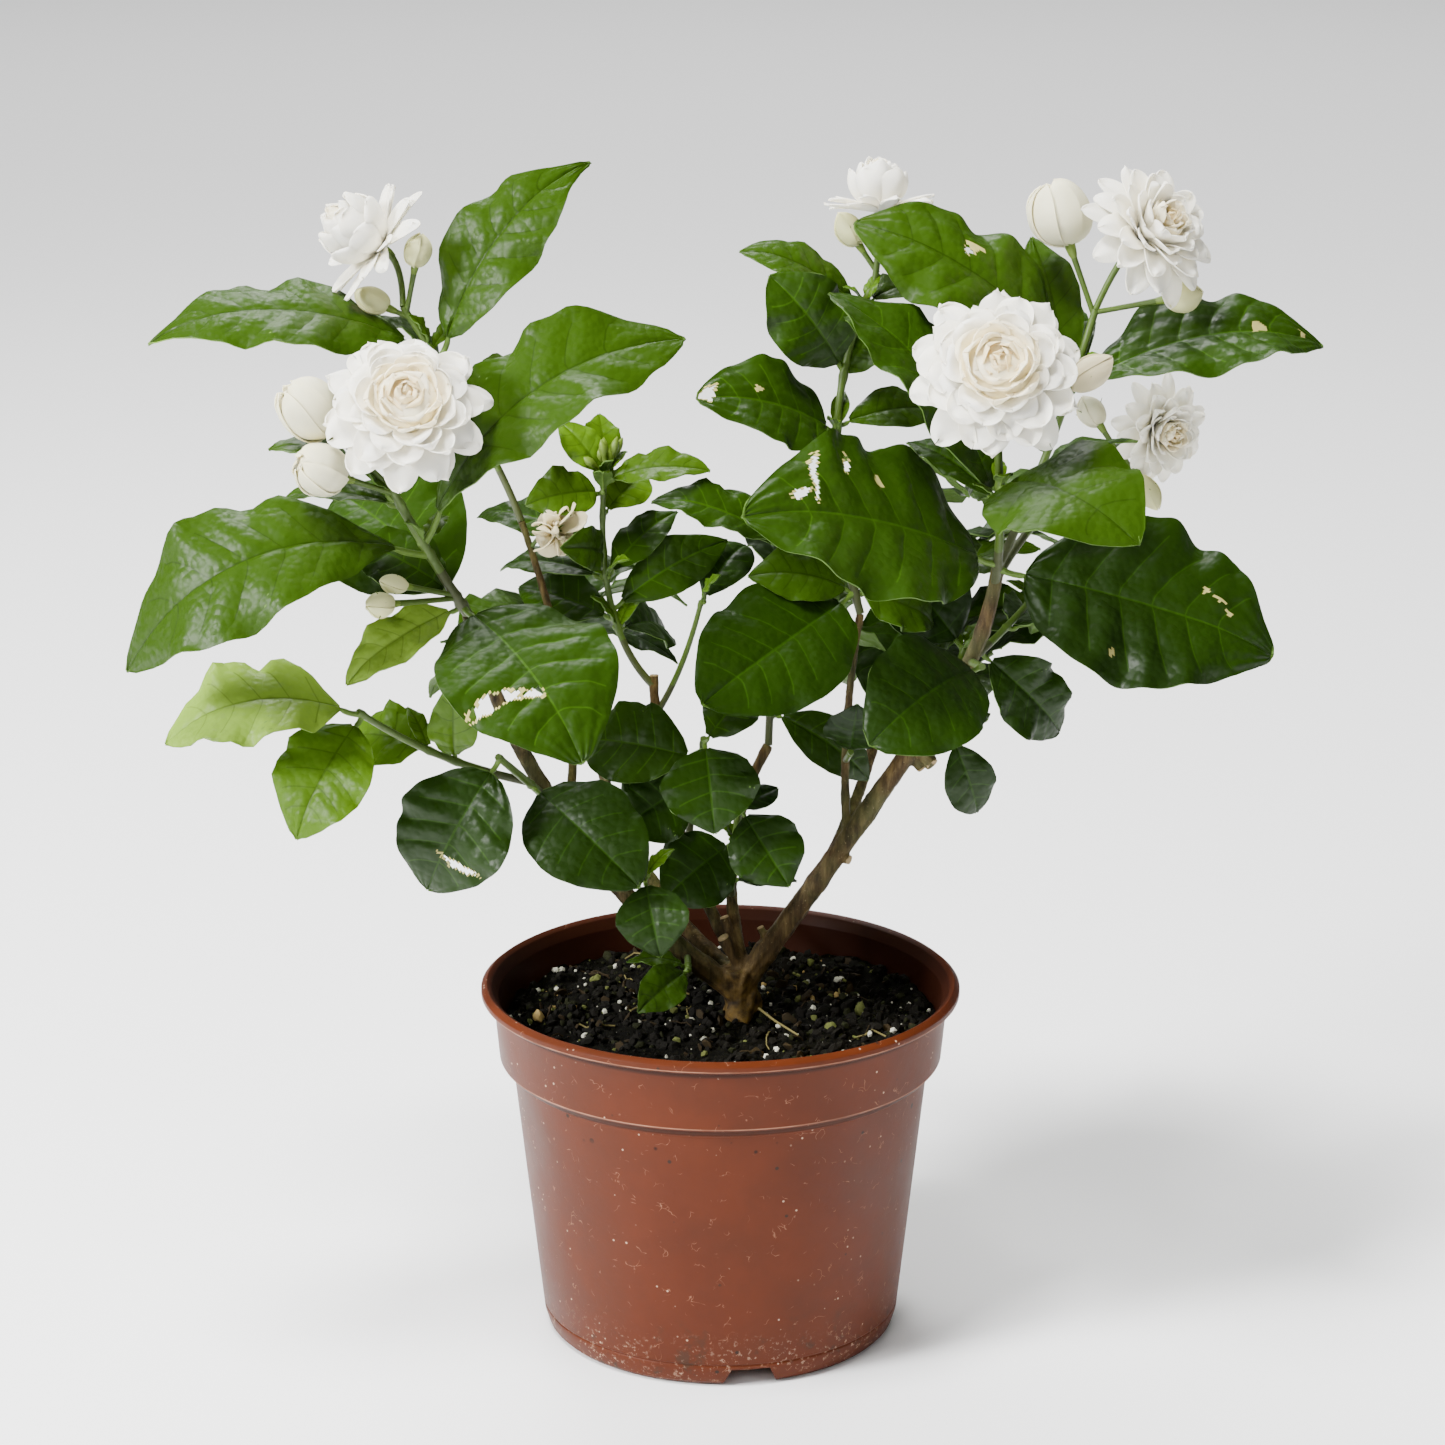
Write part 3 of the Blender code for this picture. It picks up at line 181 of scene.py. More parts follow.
SHOOTS = {
    "left_bloom_shoot": Shoot(
        "left_bough", 1.0, (-97, -46, 283), (-1, -1, 1), 1.6, 1.3, leaf_size=44, pairs=1,
        leaves=[
            Leaf(0.42, 94, 46, 194, -16, 38, 28),
            Leaf(0.50, 97, 36, 8, 37, 30, 23),
            Leaf(0.06, 62, 48, 134, 23, 40, 10),
            Leaf(0.12, 36, 22, 160, 13, 50),
            Leaf(0.02, 72, 53, -53, -23, 30, 8),
            Leaf(0.0, 41, 17, 200, -27, 40, 8),
            Leaf(0.80, 36, 11, 176, 2, 20, 8),
        ],
        blooms=[Bloom(1.0, 28, -62, 56, 47, -84, 20)],
        buds=[
            Bud(0.93, 34, 197, 46, 18, 1.05),
            Bud(0.88, 26, 215, 23, 16, 1.0),
            Bud(0.10, 28, 220, 5, 8, 1.2),
            Bud(0.12, 22, 215, 17, 6, 1.6),
        ],
    ),
    "left_low_shoot": Shoot(
        "left_bough", 0.61, (-108, -36, 210), (-2, 4, -4), 1.4, 1.0,
        leaves=[
            Leaf(0.98, 58, 32, 191, -6, 32, 22),
            Leaf(0.97, 42, 30, 226, -46, 42, 8),
            Leaf(0.55, 30, 22, 144, 2, 50),
            Leaf(0.40, 30, 15, 268, 70, 60),
        ],
    ),
    "left_front_sprig": Shoot(
        "left_bough", 0.56, (-67, -29, 194), (0, 0, 0), 1.4, 1.1,
        leaves=[
            Leaf(0.95, 46, 36, 194, -61, 52, 14),
            Leaf(0.20, 49, 35, -42, -30, 56),
        ],
    ),
    "upper_left_shoot": Shoot(
        "left_riser", 1.0, (-98, 38, 319), (5, 2, -6), 1.2, 1.1, twigs=1, pairs=1, leaf_size=40,
        leaves=[
            Leaf(0.84, 86, 38, 194, 6, 26, 14),
            Leaf(0.80, 77, 36, 16, 54, 30, 12),
            Leaf(0.50, 42, 24, 66, 20, 30),
            Leaf(0.62, 40, 16, 180, 8, 40),
        ],
        blooms=[Bloom(1.0, 22, 157, 63, 40, 205, 35)],
        buds=[
            Bud(0.98, 21, -46, 73, 9, 1.25),
            Bud(0.96, 13, 180, 25, 9, 1.3),
        ],
    ),
    "centre_left_shoot": Shoot(
        "centre_left_bough", 1.0, (-36, 34, 268), (-6, 2, -8), 1.3, 0.9, pairs=1, leaf_size=34,
        leaves=[
            Leaf(0.98, 22, 12, 171, 53, 50),
            Leaf(0.99, 20, 12, 95, 58, 60),
            Leaf(0.97, 34, 14, -17, 8, 34),
            Leaf(0.93, 26, 17, 208, -2, 50),
            Leaf(0.85, 22, 15, 47, 27, 50),
            Leaf(0.70, 31, 14, 247, 18, 70),
            Leaf(0.72, 46, 15, 167, 8, 26),
            Leaf(0.60, 39, 14, 154, -2, 30),
            Leaf(0.45, 42, 18, 14, 31, 55),
            Leaf(0.60, 31, 14, 28, 38, 40),
            Leaf(0.40, 34, 20, 158, 10, 45),
            Leaf(0.35, 34, 20, 63, -15, 50),
        ],
    ),
    "bare_twig": Shoot(
        "centre_left_bough", 0.90, (-6, 28, 228), (1, 0, -2), 1.1, 0.8,
        leaves=[Leaf(0.98, 30, 16, 60, 42, 50)],
    ),
    "centre_shoot": Shoot(
        "centre_bough", 1.0, (21, 24, 247), (-1, 1, 1), 1.3, 1.0, pairs=2, leaf_size=38,
        leaves=[
            Leaf(0.98, 44, 17, 183, 21, 30),
            Leaf(0.95, 32, 12, 143, 32, 40),
            Leaf(0.15, 39, 17, 4, -36, 45),
            Leaf(0.50, 31, 16, 243, 37, 60),
        ],
    ),
    "centre_low_sprig": Shoot(
        "centre_left_bough", 0.42, (-5, -20, 197), (0, -1, 1), 1.3, 1.0,
        leaves=[
            Leaf(1.0, 29, 30, -75, -60, 60, 8),
            Leaf(0.60, 27, 26, 195, -28, 62, 8),
            Leaf(0.80, 38, 28, 162, 5, 58),
            Leaf(0.95, 27, 18, 50, 30, 60),
        ],
    ),
    "hanging_sprig": Shoot(
        "centre_left_bough", 0.54, (-23, -33, 157), (-4, 3, 2), 1.1, 0.9,
        leaves=[Leaf(1.0, 24, 22, -65, -64, 60, 8)],
    ),
    "low_front_sprig": Shoot(
        "centre_bough", 0.30, (6, -17, 174), (-1, -1, 0), 1.2, 1.0,
        leaves=[
            Leaf(0.62, 29, 26, 212, -26, 62, 8),
            Leaf(1.0, 28, 24, -38, -50, 62, 8),
            Leaf(0.97, 14, 9, 30, 25, 50),
            Leaf(0.15, 20, 9, -5, 5, 40),
        ],
    ),
    "basal_sprig": Shoot(
        "left_bough", 0.13, (-10, -12, 120), (0, 0, 0), 1.2, 1.0,
        leaves=[
            Leaf(0.95, 25, 14, 231, -14, 60),
            Leaf(0.60, 19, 9, 190, 8, 20),
        ],
    ),
    "riser_sprig": Shoot(
        "riser", 0.35, (40, -7, 189), (0, 0, 0), 1.1, 0.9,
        leaves=[Leaf(0.80, 20, 18, -80, 62, 60)],
    ),
    "top_centre_shoot": Shoot(
        "riser", 1.0, (48, 28, 331), (-10, -2, 4), 1.3, 1.1, pairs=2, leaf_size=42,
        leaves=[
            Leaf(0.03, 70, 42, 228, -18, 52, 2),
            Leaf(0.05, 34, 20, 195, 9, 40),
            Leaf(0.02, 30, 19, 20, -24, 50),
            Leaf(0.10, 40, 22, 96, -25, 30),
            Leaf(0.50, 48, 33, 208, 17, 46),
            Leaf(0.52, 36, 16, 25, 2, 40),
            Leaf(0.68, 39, 27, 206, 53, 60),
            Leaf(0.66, 17, 14, 40, 50, 60),
            Leaf(0.88, 41, 18, 188, 28, 34),
            Leaf(0.90, 34, 15, 47, 2, 36),
        ],
        blooms=[Bloom(0.98, 23, 61, 84, 32, 100, 78)],
        buds=[Bud(1.0, 16, 167, 55, 9, 1.3)],
    ),
    "right_front_shoot": Shoot(
        "right_upper_bough", 0.92, (81, -36, 292), (1, -1, -3), 1.5, 1.3, pairs=1, leaf_size=44,
        leaves=[
            Leaf(0.09, 92, 58, 210, 20, 42, 6),
            Leaf(0.02, 86, 58, -13, -15, 42, 6),
            Leaf(0.50, 83, 34, 159, 52, 16, 14),
            Leaf(0.72, 58, 46, -55, -6, 46, 17),
            Leaf(0.60, 38, 12, 137, 16, 40),
        ],
        blooms=[Bloom(1.0, 27, -96, 58, 50, -90, 14)],
        buds=[Bud(0.99, 34, 0, 38, 10, 1.5)],
    ),
    "right_top_shoot": Shoot(
        "right_upper_bough", 1.0, (113, 10, 323), (1, 2, -3), 1.4, 1.2, pairs=1, leaf_size=46,
        leaves=[
            Leaf(0.72, 79, 38, 7, 9, 24, 13),
            Leaf(0.78, 80, 42, 166, 37, 24, 14),
            Leaf(0.70, 62, 30, 100, 12, 10),
            Leaf(0.70, 52, 18, 108, 68, 30),
        ],
        blooms=[Bloom(1.0, 28, -16, 57, 44, -50, 35)],
        buds=[
            Bud(0.98, 32, 160, 69, 20, 1.0),
            Bud(0.99, 27, -9, 12, 10, 1.2),
        ],
    ),
    "right_back_shoot": Shoot(
        "right_upper_bough", 0.93, (126, 42, 274), (-4, 1, 1), 1.4, 1.1,
        twigs=1, pairs=2, leaf_size=44,
        blooms=[Bloom(1.0, 12, 0, 28, 33, -60, -5)],
        buds=[
            Bud(0.96, 15, 153, 53, 9, 1.2),
            Bud(0.97, 16, -31, -50, 8, 1.6),
        ],
    ),
    "right_mid_sprig": Shoot(
        "right_upper_bough", 0.50, (79, -18, 219), (0, 0, 0), 1.4, 1.1,
        leaves=[Leaf(0.85, 52, 38, 225, -12, 56)],
    ),
    "right_inner_sprig": Shoot(
        "right_upper_bough", 0.30, (76, 24, 214), (0, 0, 0), 1.2, 1.0, pairs=1, leaf_size=36,
        leaves=[Leaf(0.95, 38, 28, 158, 48, 62)],
    ),
    "right_low_shoot": Shoot(
        "right_upper_bough", 0.5, (97, 18, 232), (0, 0, -1), 1.3, 1.0, pairs=1, leaf_size=36,
        leaves=[
            Leaf(0.02, 40, 24, 20, -46, 60),
            Leaf(0.50, 43, 20, 70, -14, 40),
        ],
    ),
    "knob_sprig": Shoot(
        "right_bough", 0.97, (73, 8, 190), (0, 1, 0), 1.3, 1.1,
        leaves=[
            Leaf(0.90, 28, 17, 21, -70, 60),
            Leaf(0.85, 34, 20, 80, -10, 0),
        ],
    ),
    "back_left_shoot": Shoot(
        "back_left_bough", 1.0, (-58, 82, 222), (-4, 6, -2), 1.7, 1.1,
        twigs=4, pairs=3, leaf_size=46,
    ),
    "back_right_shoot": Shoot(
        "back_right_bough", 1.0, (70, 84, 240), (2, 6, -2), 1.7, 1.1,
        twigs=4, pairs=3, leaf_size=50,
    ),
}


def mm(*xyz):
    """A point or a distance given in millimetres, in metres."""
    return Vector(xyz) * MM


def direction(heading, rise):
    """The unit vector along a compass heading and a rise above level, in degrees."""
    across = math.cos(math.radians(rise))
    return Vector(
        (
            across * math.cos(math.radians(heading)),
            across * math.sin(math.radians(heading)),
            math.sin(math.radians(rise)),
        )
    )


def linked(name, data):
    """A new object in the scene."""
    made = bpy.data.objects.new(name, data)
    bpy.context.scene.collection.objects.link(made)
    return made


def add_mesh(name, bm, look=None):
    mesh = bpy.data.meshes.new(name)
    bm.to_mesh(mesh)
    bm.free()
    if look:
        mesh.materials.append(look)
    return linked(name, mesh)


def evaluated_mesh(piece):
    graph = bpy.context.evaluated_depsgraph_get()
    return bpy.data.meshes.new_from_object(piece.evaluated_get(graph))


def apply_modifiers(piece):
    mesh = evaluated_mesh(piece)
    piece.modifiers.clear()
    piece.data = mesh
    return piece


def arc(start, pull, end, share):
    """A place on the curve that sets out towards pull and comes in from it."""
    rest = 1 - share
    return start * rest**2 + pull * (2 * rest * share) + end * share**2


def axes_round(along):
    """Two unit vectors across a direction, and the direction itself."""
    right = along.orthogonal().normalized()
    return right, along.cross(right), along


class Line:
    """The middle line of a limb, a curve from foot to tip that bows at its middle."""

    def __init__(self, foot, tip, bow, thick, thin):
        self.foot = foot
        self.tip = tip
        self.pull = (foot + tip) / 2 + bow * 2
        self.thick = thick * MM
        self.thin = thin * MM
        self.start = 0.0

    def point(self, share):
        return arc(self.foot, self.pull, self.tip, share)

    def along(self, share):
        rest = 1 - share
        return ((self.pull - self.foot) * rest + (self.tip - self.pull) * share).normalized()

    def radius(self, share):
        return self.thick + (self.thin - self.thick) * share

    def spot(self, at):
        """The point at a share of the solid stretch, just past its foot at the least."""
        return self.point(self.start + (1 - self.start) * max(at, 0.05))

    def share_at(self, distance):
        """The share of the line that lies this far along it from the foot."""
        steps = 200
        gone, last = 0.0, self.foot
        for step in range(steps):
            here = self.point((step + 1) / steps)
            stride = (here - last).length
            if gone + stride >= distance:
                return (step + (distance - gone) / stride) / steps
            gone += stride
            last = here
        return 1.0


def seat(parent, at, line):
    """Where a side limb's solid starts on its own line, clear of its parent by the gap."""
    slant = line.along(0.0).angle(parent.along(at))
    if at >= 1.0:
        return line.share_at((GAP * MM + line.thick * math.sin(slant)) / math.cos(slant))
    reach = parent.radius(at) + GAP * MM + line.thick * abs(math.cos(slant))
    return line.share_at(reach / math.sin(slant))


def grow(lines, name, plan):
    """Works out the middle line of a bough or shoot on the line of its parent."""
    parent = lines[plan.parent]
    line = Line(parent.point(plan.at), mm(*plan.tip), mm(*plan.bow), plan.thick, plan.thin)
    if plan.parent == "trunk":
        line.start = line.share_at((STUB_LENGTH + GAP) * MM)
    else:
        line.start = seat(parent, plan.at, line)
    lines[name] = line


def pot_profile():
    """The pot's outline from the middle of its inner floor round to the middle below."""
    inside_floor = FLOOR_UNDERSIDE + FLOOR_THICKNESS
    slope = (BODY_TOP_RADIUS - BODY_FOOT_RADIUS) / (STEP_HEIGHT - FOOT_ROUND_HEIGHT)
    floor_radius = BODY_FOOT_RADIUS + slope * (inside_floor - FOOT_ROUND_HEIGHT) - WALL
    ring_inside = FOOT_RADIUS - FOOT_RING_WIDTH
    return [
        (0, inside_floor),
        (floor_radius, inside_floor),
        (BODY_TOP_RADIUS - WALL, STEP_HEIGHT - WALL),
        (BAND_FOOT_RADIUS - WALL, BAND_FOOT_HEIGHT - WALL),
        (BAND_TOP_RADIUS - WALL, POT_HEIGHT - LIP_DEPTH),
        (LIP_RADIUS - LIP_WIDTH, POT_HEIGHT - 1.0),
        (LIP_RADIUS - LIP_WIDTH / 2, POT_HEIGHT),
        (LIP_RADIUS, POT_HEIGHT - 1.4),
        (LIP_RADIUS, POT_HEIGHT - LIP_DEPTH + 1.0),
        (LIP_RADIUS - 1.2, POT_HEIGHT - LIP_DEPTH),
        (BAND_TOP_RADIUS, POT_HEIGHT - LIP_DEPTH - 0.6),
        (BAND_FOOT_RADIUS, BAND_FOOT_HEIGHT),
        (BAND_FOOT_RADIUS - 1.4, BAND_FOOT_HEIGHT - 1.6),
        (BODY_TOP_RADIUS, STEP_HEIGHT),
        (BODY_FOOT_RADIUS, FOOT_ROUND_HEIGHT),
        (FOOT_RADIUS + 1.2, 1.2),
        (FOOT_RADIUS, 0),
        (ring_inside, 0),
        (ring_inside - 1.0, FLOOR_UNDERSIDE),
        (PAD_RADIUS + 2.0, FLOOR_UNDERSIDE),
        (PAD_RADIUS, 0),
        (0, 0),
    ]


def turned(name, outline, look):
    """A body turned round the upright axis from its outline, given in millimetres."""
    bm = bmesh.new()
    spots = [bm.verts.new(mm(radius, 0, height)) for radius, height in outline]
    for lower, upper in zip(spots, spots[1:]):
        bm.edges.new((lower, upper))
    piece = add_mesh(name, bm, look)
    screw = piece.modifiers.new("Turn", "SCREW")
    screw.steps = POT_SEGMENTS
    screw.render_steps = POT_SEGMENTS
    screw.use_merge_vertices = True
    screw.merge_threshold = 0.0001
    return apply_modifiers(piece)


def cut(piece, cutters):
    """Takes the cutters' shapes out of the piece."""
    for cutter in cutters:
        boolean = piece.modifiers.new("Cut", "BOOLEAN")
        boolean.operation = "DIFFERENCE"
        boolean.solver = "EXACT"
        boolean.object = cutter
    return apply_modifiers(piece)


def notch_cutters():
    """Wedges narrower at the top, for the drainage notches in the pot's foot ring."""
    made = []
    for number in range(NOTCH_COUNT):
        bm = bmesh.new()
        bmesh.ops.create_cube(bm, size=1.0)
        for vert in bm.verts:
            high = vert.co.z > 0
            width = NOTCH_TOP_WIDTH if high else NOTCH_WIDTH + 1.6
            height = NOTCH_HEIGHT if high else -2.0
            radius = FOOT_RADIUS + vert.co.x * 4 * FOOT_RING_WIDTH
            vert.co = mm(radius, vert.co.y * width, height)
        cutter = add_mesh(f"notch_cutter_{number}", bm)
        cutter.rotation_euler.z = math.radians(FRONT_NOTCH_ANGLE + 360 * number / NOTCH_COUNT)
        made.append(cutter)
    return made


def drain_cutters():
    """Short rods for the drain holes in the pot's floor."""
    made = []
    radius = DRAIN_RADIUS * MM
    for number in range(DRAIN_COUNT):
        angle = 2 * math.pi * number / DRAIN_COUNT
        bm = bmesh.new()
        depth = 4 * FLOOR_THICKNESS * MM
        bmesh.ops.create_cone(
            bm, cap_ends=True, segments=8, radius1=radius, radius2=radius, depth=depth
        )
        cutter = add_mesh(f"drain_cutter_{number}", bm)
        height = FLOOR_UNDERSIDE + FLOOR_THICKNESS / 2
        cutter.location = mm(DRAIN_RING * math.cos(angle), DRAIN_RING * math.sin(angle), height)
        made.append(cutter)
    return made


def leaf_half_width(share, width):
    """Half the leaf's width at a share of its length: a petiole, then a pointed oval."""
    stalk = PETIOLE_WIDTH / 2
    if share <= PETIOLE:
        return stalk
    along = (share - PETIOLE) / (1 - PETIOLE)
    blade = width / 2 * math.sin(math.pi * along**LEAF_WAIST) ** LEAF_FULLNESS if along < 1 else 0.0
    return max(blade, 0.0 if share >= 1 else stalk)


class Blade:
    """A leaf or petal laid along its chord, from a root on its stem."""

    def __init__(self, root, chord, upper, length, width, arch, fold=LEAF_FOLD):
        self.root = root
        self.chord = chord
        self.upper = (upper - chord * upper.dot(chord)).normalized()
        self.side = self.chord.cross(self.upper)
        self.length = length
        self.width = width
        self.arch = arch
        self.fold = fold

    def point(self, along, across, half_width):
        lift = self.arch * self.length * 4 * along * (1 - along)
        lift += self.fold * abs(across) * half_width
        out = self.chord * (self.length * along) + self.upper * lift
        return self.root + (out + self.side * (across * half_width)) * MM

    def samples(self):
        """Points spread over the blade."""
        spots = ((0.3, 0), (0.5, -0.8), (0.5, 0), (0.5, 0.8), (0.75, -0.7), (0.75, 0.7), (1, 0))
        return [
            self.point(along, across, leaf_half_width(along, self.width))
            for along, across in spots
        ]

    def mesh(self, rows, thickness, margin=0.0):
        """A closed thin solid: a grid drawn out to the outline and given its thickness."""
        bm = bmesh.new()
        bmesh.ops.create_grid(bm, x_segments=2, y_segments=len(rows) - 1, size=1.0)
        steps = len(rows) - 1
        for vert in bm.verts:
            along = rows[round((vert.co.y + 1) / 2 * steps)]
            half_width = leaf_half_width(along, self.width) + margin
            vert.co = self.point(along, vert.co.x, half_width)
        bmesh.ops.remove_doubles(bm, verts=bm.verts, dist=0.00005)
        bmesh.ops.solidify(bm, geom=bm.faces[:], thickness=thickness * MM)
        return bm


TURNS = ((0, 0), (6, 0), (-6, 0), (0, 6), (0, -6), (12, 0), (-12, 0), (0, 12), (0, -12),
         (10, 10), (-10, 10), (10, -10), (-10, -10))


def leaf_blade(line, leaf, turn=(0, 0)):
    chord = direction(leaf.heading + turn[0], leaf.rise + turn[1])
    face = math.radians(leaf.face)
    upper = Vector((0, -math.sin(face), math.cos(face)))
    root = line.spot(leaf.at) + chord * LEAF_ROOT * MM
    return Blade(root, chord, upper, leaf.length, leaf.width, leaf.arch / 100)


def skin(blade, air, first=0.16):
    """The space that a blade takes up with some air round it, past its petiole."""
    rows = (first, 0.4, 0.55, 0.7, 0.86, 1.0)
    bm = blade.mesh(rows, LEAF_THICKNESS + 2 * air, air)
    bmesh.ops.translate(bm, verts=bm.verts, vec=blade.upper * air * MM)
    tree = BVHTree.FromBMesh(bm)
    bm.free()
    return tree


def is_free(name, blade, taken):
    """Whether a blade clears all other shoots and, past its foot, those of its own."""
    wide = skin(blade, CLEARANCE)
    outer = skin(blade, 0.0, OWN_REACH)
    for owner, tree in taken:
        if owner == name:
            if outer.overlap(tree):
                return False
        elif not owner.startswith(name) and wide.overlap(tree):
            return False
    return True


def place_leaf(name, line, leaf, taken, front=()):
    """Turns the leaf aside step by step until it finds room, or gives none."""
    for turn in TURNS:
        blade = leaf_blade(line, leaf, turn)
        if is_free(name, blade, taken) and (not front or is_hidden(blade.samples(), front)):
            taken.append((name, skin(blade, 0.0)))
            return blade
    return None


def is_hidden(points, front):
    """Whether most of the points lie behind the crown's front."""
    eye = mm(*FRONT_EYE)
    behind = 0
    for point in points:
        sight = (eye - point).normalized()
        behind += any(tree.ray_cast(point, sight)[0] for tree in front)
    return behind >= HIDDEN_SHARE * len(points)


def bloom_centre(line, bloom):
    return line.spot(bloom.at) + direction(bloom.heading, bloom.rise) * bloom.stalk * MM


def rosette(centre, looks, size):
    """A double bloom: two whorls of petal tips round a dome, on a ball drawn to its rings."""
    last = len(BLOOM_RINGS) - 1
    segments = BLOOM_SEGMENTS if size >= SMALL_BLOOM else SMALL_BLOOM_SEGMENTS
    turn = looks.to_track_quat("Z", "Y").to_matrix()
    bm = bmesh.new()
    bmesh.ops.create_uvsphere(bm, u_segments=segments, v_segments=last, radius=1.0)
    for vert in bm.verts:
        ring = round(math.acos(max(-1.0, min(1.0, vert.co.z))) / math.pi * last)
        angle = math.atan2(vert.co.y, vert.co.x)
        gap = round(angle / (2 * math.pi) * segments + ring / 2) % 2
        radius, height, depth = BLOOM_RINGS[ring]
        out = radius * (1 - depth * gap) * size / 2
        vert.co = centre + turn @ mm(out * math.cos(angle), out * math.sin(angle), height * size)
    return bm


def bloom_rosette(line, bloom, air=0.0):
    looks = direction(bloom.looks_heading, bloom.looks_rise)
    return rosette(bloom_centre(line, bloom), looks, bloom.size + 2 * air)


def bud_centre(line, bud):
    return line.spot(bud.at) + direction(bud.heading, bud.rise) * bud.stalk * MM


def ball(centre, radius):
    bm = bmesh.new()
    bmesh.ops.create_icosphere(bm, subdivisions=2, radius=radius * MM)
    bmesh.ops.translate(bm, verts=bm.verts, vec=centre)
    tree = BVHTree.FromBMesh(bm)
    bm.free()
    return tree


def limb_skin(line):
    """The space of a limb with the clearance round it, as a bevelled curve gives it."""
    outline = bpy.data.curves.new("limb_skin", "CURVE")
    outline.dimensions = "3D"
    outline.bevel_depth = 1.0
    outline.bevel_resolution = 1
    outline.use_fill_caps = True
    path = outline.splines.new("POLY")
    path.points.add(SKIN_STEPS)
    for number, spot in enumerate(path.points):
        share = line.start + (1 - line.start) * number / SKIN_STEPS
        spot.co = (*line.point(share), 1.0)
        spot.radius = line.radius(share) + CLEARANCE * MM
    guide = linked("limb_skin", outline)
    bm = bmesh.new()
    bm.from_mesh(evaluated_mesh(guide))
    bpy.data.objects.remove(guide)
    bmesh.ops.remove_doubles(bm, verts=bm.verts, dist=0.00001)
    tree = BVHTree.FromBMesh(bm)
    bm.free()
    return tree


def spare_leaves(plan, pairs, dice):
    """Leaves by rule: pairs up a stem, each turned about a quarter from the last."""
    made = []
    for pair in range(pairs):
        at = 0.2 + 0.78 * (pair + dice.uniform(0.3, 0.9)) / pairs
        first = dice.uniform(-PAIR_SPREAD, PAIR_SPREAD) + (90 if pair % 2 else 0)
        for half in range(2):
            heading = first + 180 * half
            away = math.sin(math.radians(heading))
            length = plan.leaf_size * dice.uniform(*SPARE_LENGTH)
            width = length * SPARE_LEAF_WIDTH
            rise = dice.uniform(*SPARE_RISE)
            face = dice.uniform(-SPARE_FACE_SPREAD, SPARE_FACE_SPREAD) - SPARE_FACE * away
            made.append(Leaf(at, length, width, heading, rise, face))
    return made


def spare_twigs(name, plan, line, taken, front, dice):
    """Side twigs by rule, each turned on from the last and kept where it finds room."""
    made = []
    for number in range(plan.twigs):
        at = 0.15 + 0.75 * (number + dice.uniform(0.2, 0.8)) / plan.twigs
        foot = line.spot(at)
        heading = TWIG_TURN * number + dice.uniform(-TWIG_SPREAD, TWIG_SPREAD)
        length = plan.leaf_size * dice.uniform(*TWIG_LENGTH)
        tip = foot + direction(heading, dice.uniform(*TWIG_RISE)) * length * MM
        twig = Line(foot, tip, mm(0, 0, -TWIG_SAG), TWIG_RADIUS * 1.1, TWIG_RADIUS * 0.8)
        space = limb_skin(twig)
        others = [tree for owner, tree in taken if not owner.startswith(name)]
        spots = [twig.point(share) for share in (0.4, 0.6, 0.8, 1.0)]
        if is_hidden(spots, front) and not any(space.overlap(tree) for tree in others):
            taken.append((name + "_twig", space))
            made.append(twig)
    return made


def plan_plant(lines):
    """Places every leaf: the named ones of all shoots first, then twigs and leaves by rule."""
    taken = [(name, limb_skin(line)) for name, line in lines.items() if name not in SHOOTS]
    taken += [(name + "_stem", limb_skin(lines[name])) for name in SHOOTS]
    for name, plan in SHOOTS.items():
        line = lines[name]
        for bloom in plan.blooms:
            space = bloom_rosette(line, bloom, CLEARANCE)
            taken.append((name + "_bloom", BVHTree.FromBMesh(space)))
            space.free()
        for bud in plan.buds:
            taken.append((name + "_bud", ball(bud_centre(line, bud), bud.size * 0.5)))
    placed = {name: [] for name in SHOOTS}
    twigs = {}
    for name, plan in SHOOTS.items():
        for leaf in plan.leaves:
            placed[name].append(place_leaf(name, lines[name], leaf, taken))
    front = [tree for _, tree in taken]
    for seed, (name, plan) in enumerate(SHOOTS.items()):
        dice = random.Random(seed)
        line = lines[name]
        twigs[name] = spare_twigs(name, plan, line, taken, front, dice)
        for leaf in spare_leaves(plan, plan.pairs, dice):
            placed[name].append(place_leaf(name, line, leaf, taken, front))
        for twig in twigs[name]:
            for leaf in spare_leaves(plan, TWIG_PAIRS, dice):
                placed[name].append(place_leaf(name, twig, leaf, taken, front))
    for name in SHOOTS:
        placed[name] = [blade for blade in placed[name] if blade]
    return placed, twigs, taken


def grown_lines():
    """The middle lines of trunk, boughs and shoots."""
    foot = mm(*TRUNK_FOOT, SOIL_HEIGHT + GAP)
    lines = {"trunk": Line(foot, mm(*TRUNK_TOP), mm(-1, 0, 0), *TRUNK_LINE_RADII)}
    for name, plan in (*BOUGHS.items(), *SHOOTS.items()):
        grow(lines, name, plan)
    return lines


# Finer sizes of the visible surfaces
POT_EDGE = 0.35
POT_WARP = 0.004
BARK_VOXEL = 0.5
LEAF_SHEET = 0.36
PETAL_SHEET = 0.35
VEIN_BAND = 0.5
MIDRIB_BAND = 0.75
VEIN_LEAN = 0.17  # how far a side vein runs on towards the tip, as a share of the blade
VEIN_STAGGER = 0.012
MIDRIB_GROOVE = 0.6
VEIN_REACH = 0.8  # share of the half width at which a side vein fades
LEAF_SCALE = 90  # the length of leaf that the two sizes below are for
QUILT = 1.35  # how far the blade swells between the veins
PUCKER = 0.4
RIB_RADIUS = 0.75
RIB_REACH = 0.9  # share of the blade at which the midrib ends
PETIOLE_SAG = 0.8
HOLE_RIM = 1.22  # how far a hole's pale rim reaches, as a share of the hole
FINE_LEAF = 60  # lengths from which a leaf has six and five pairs of side veins
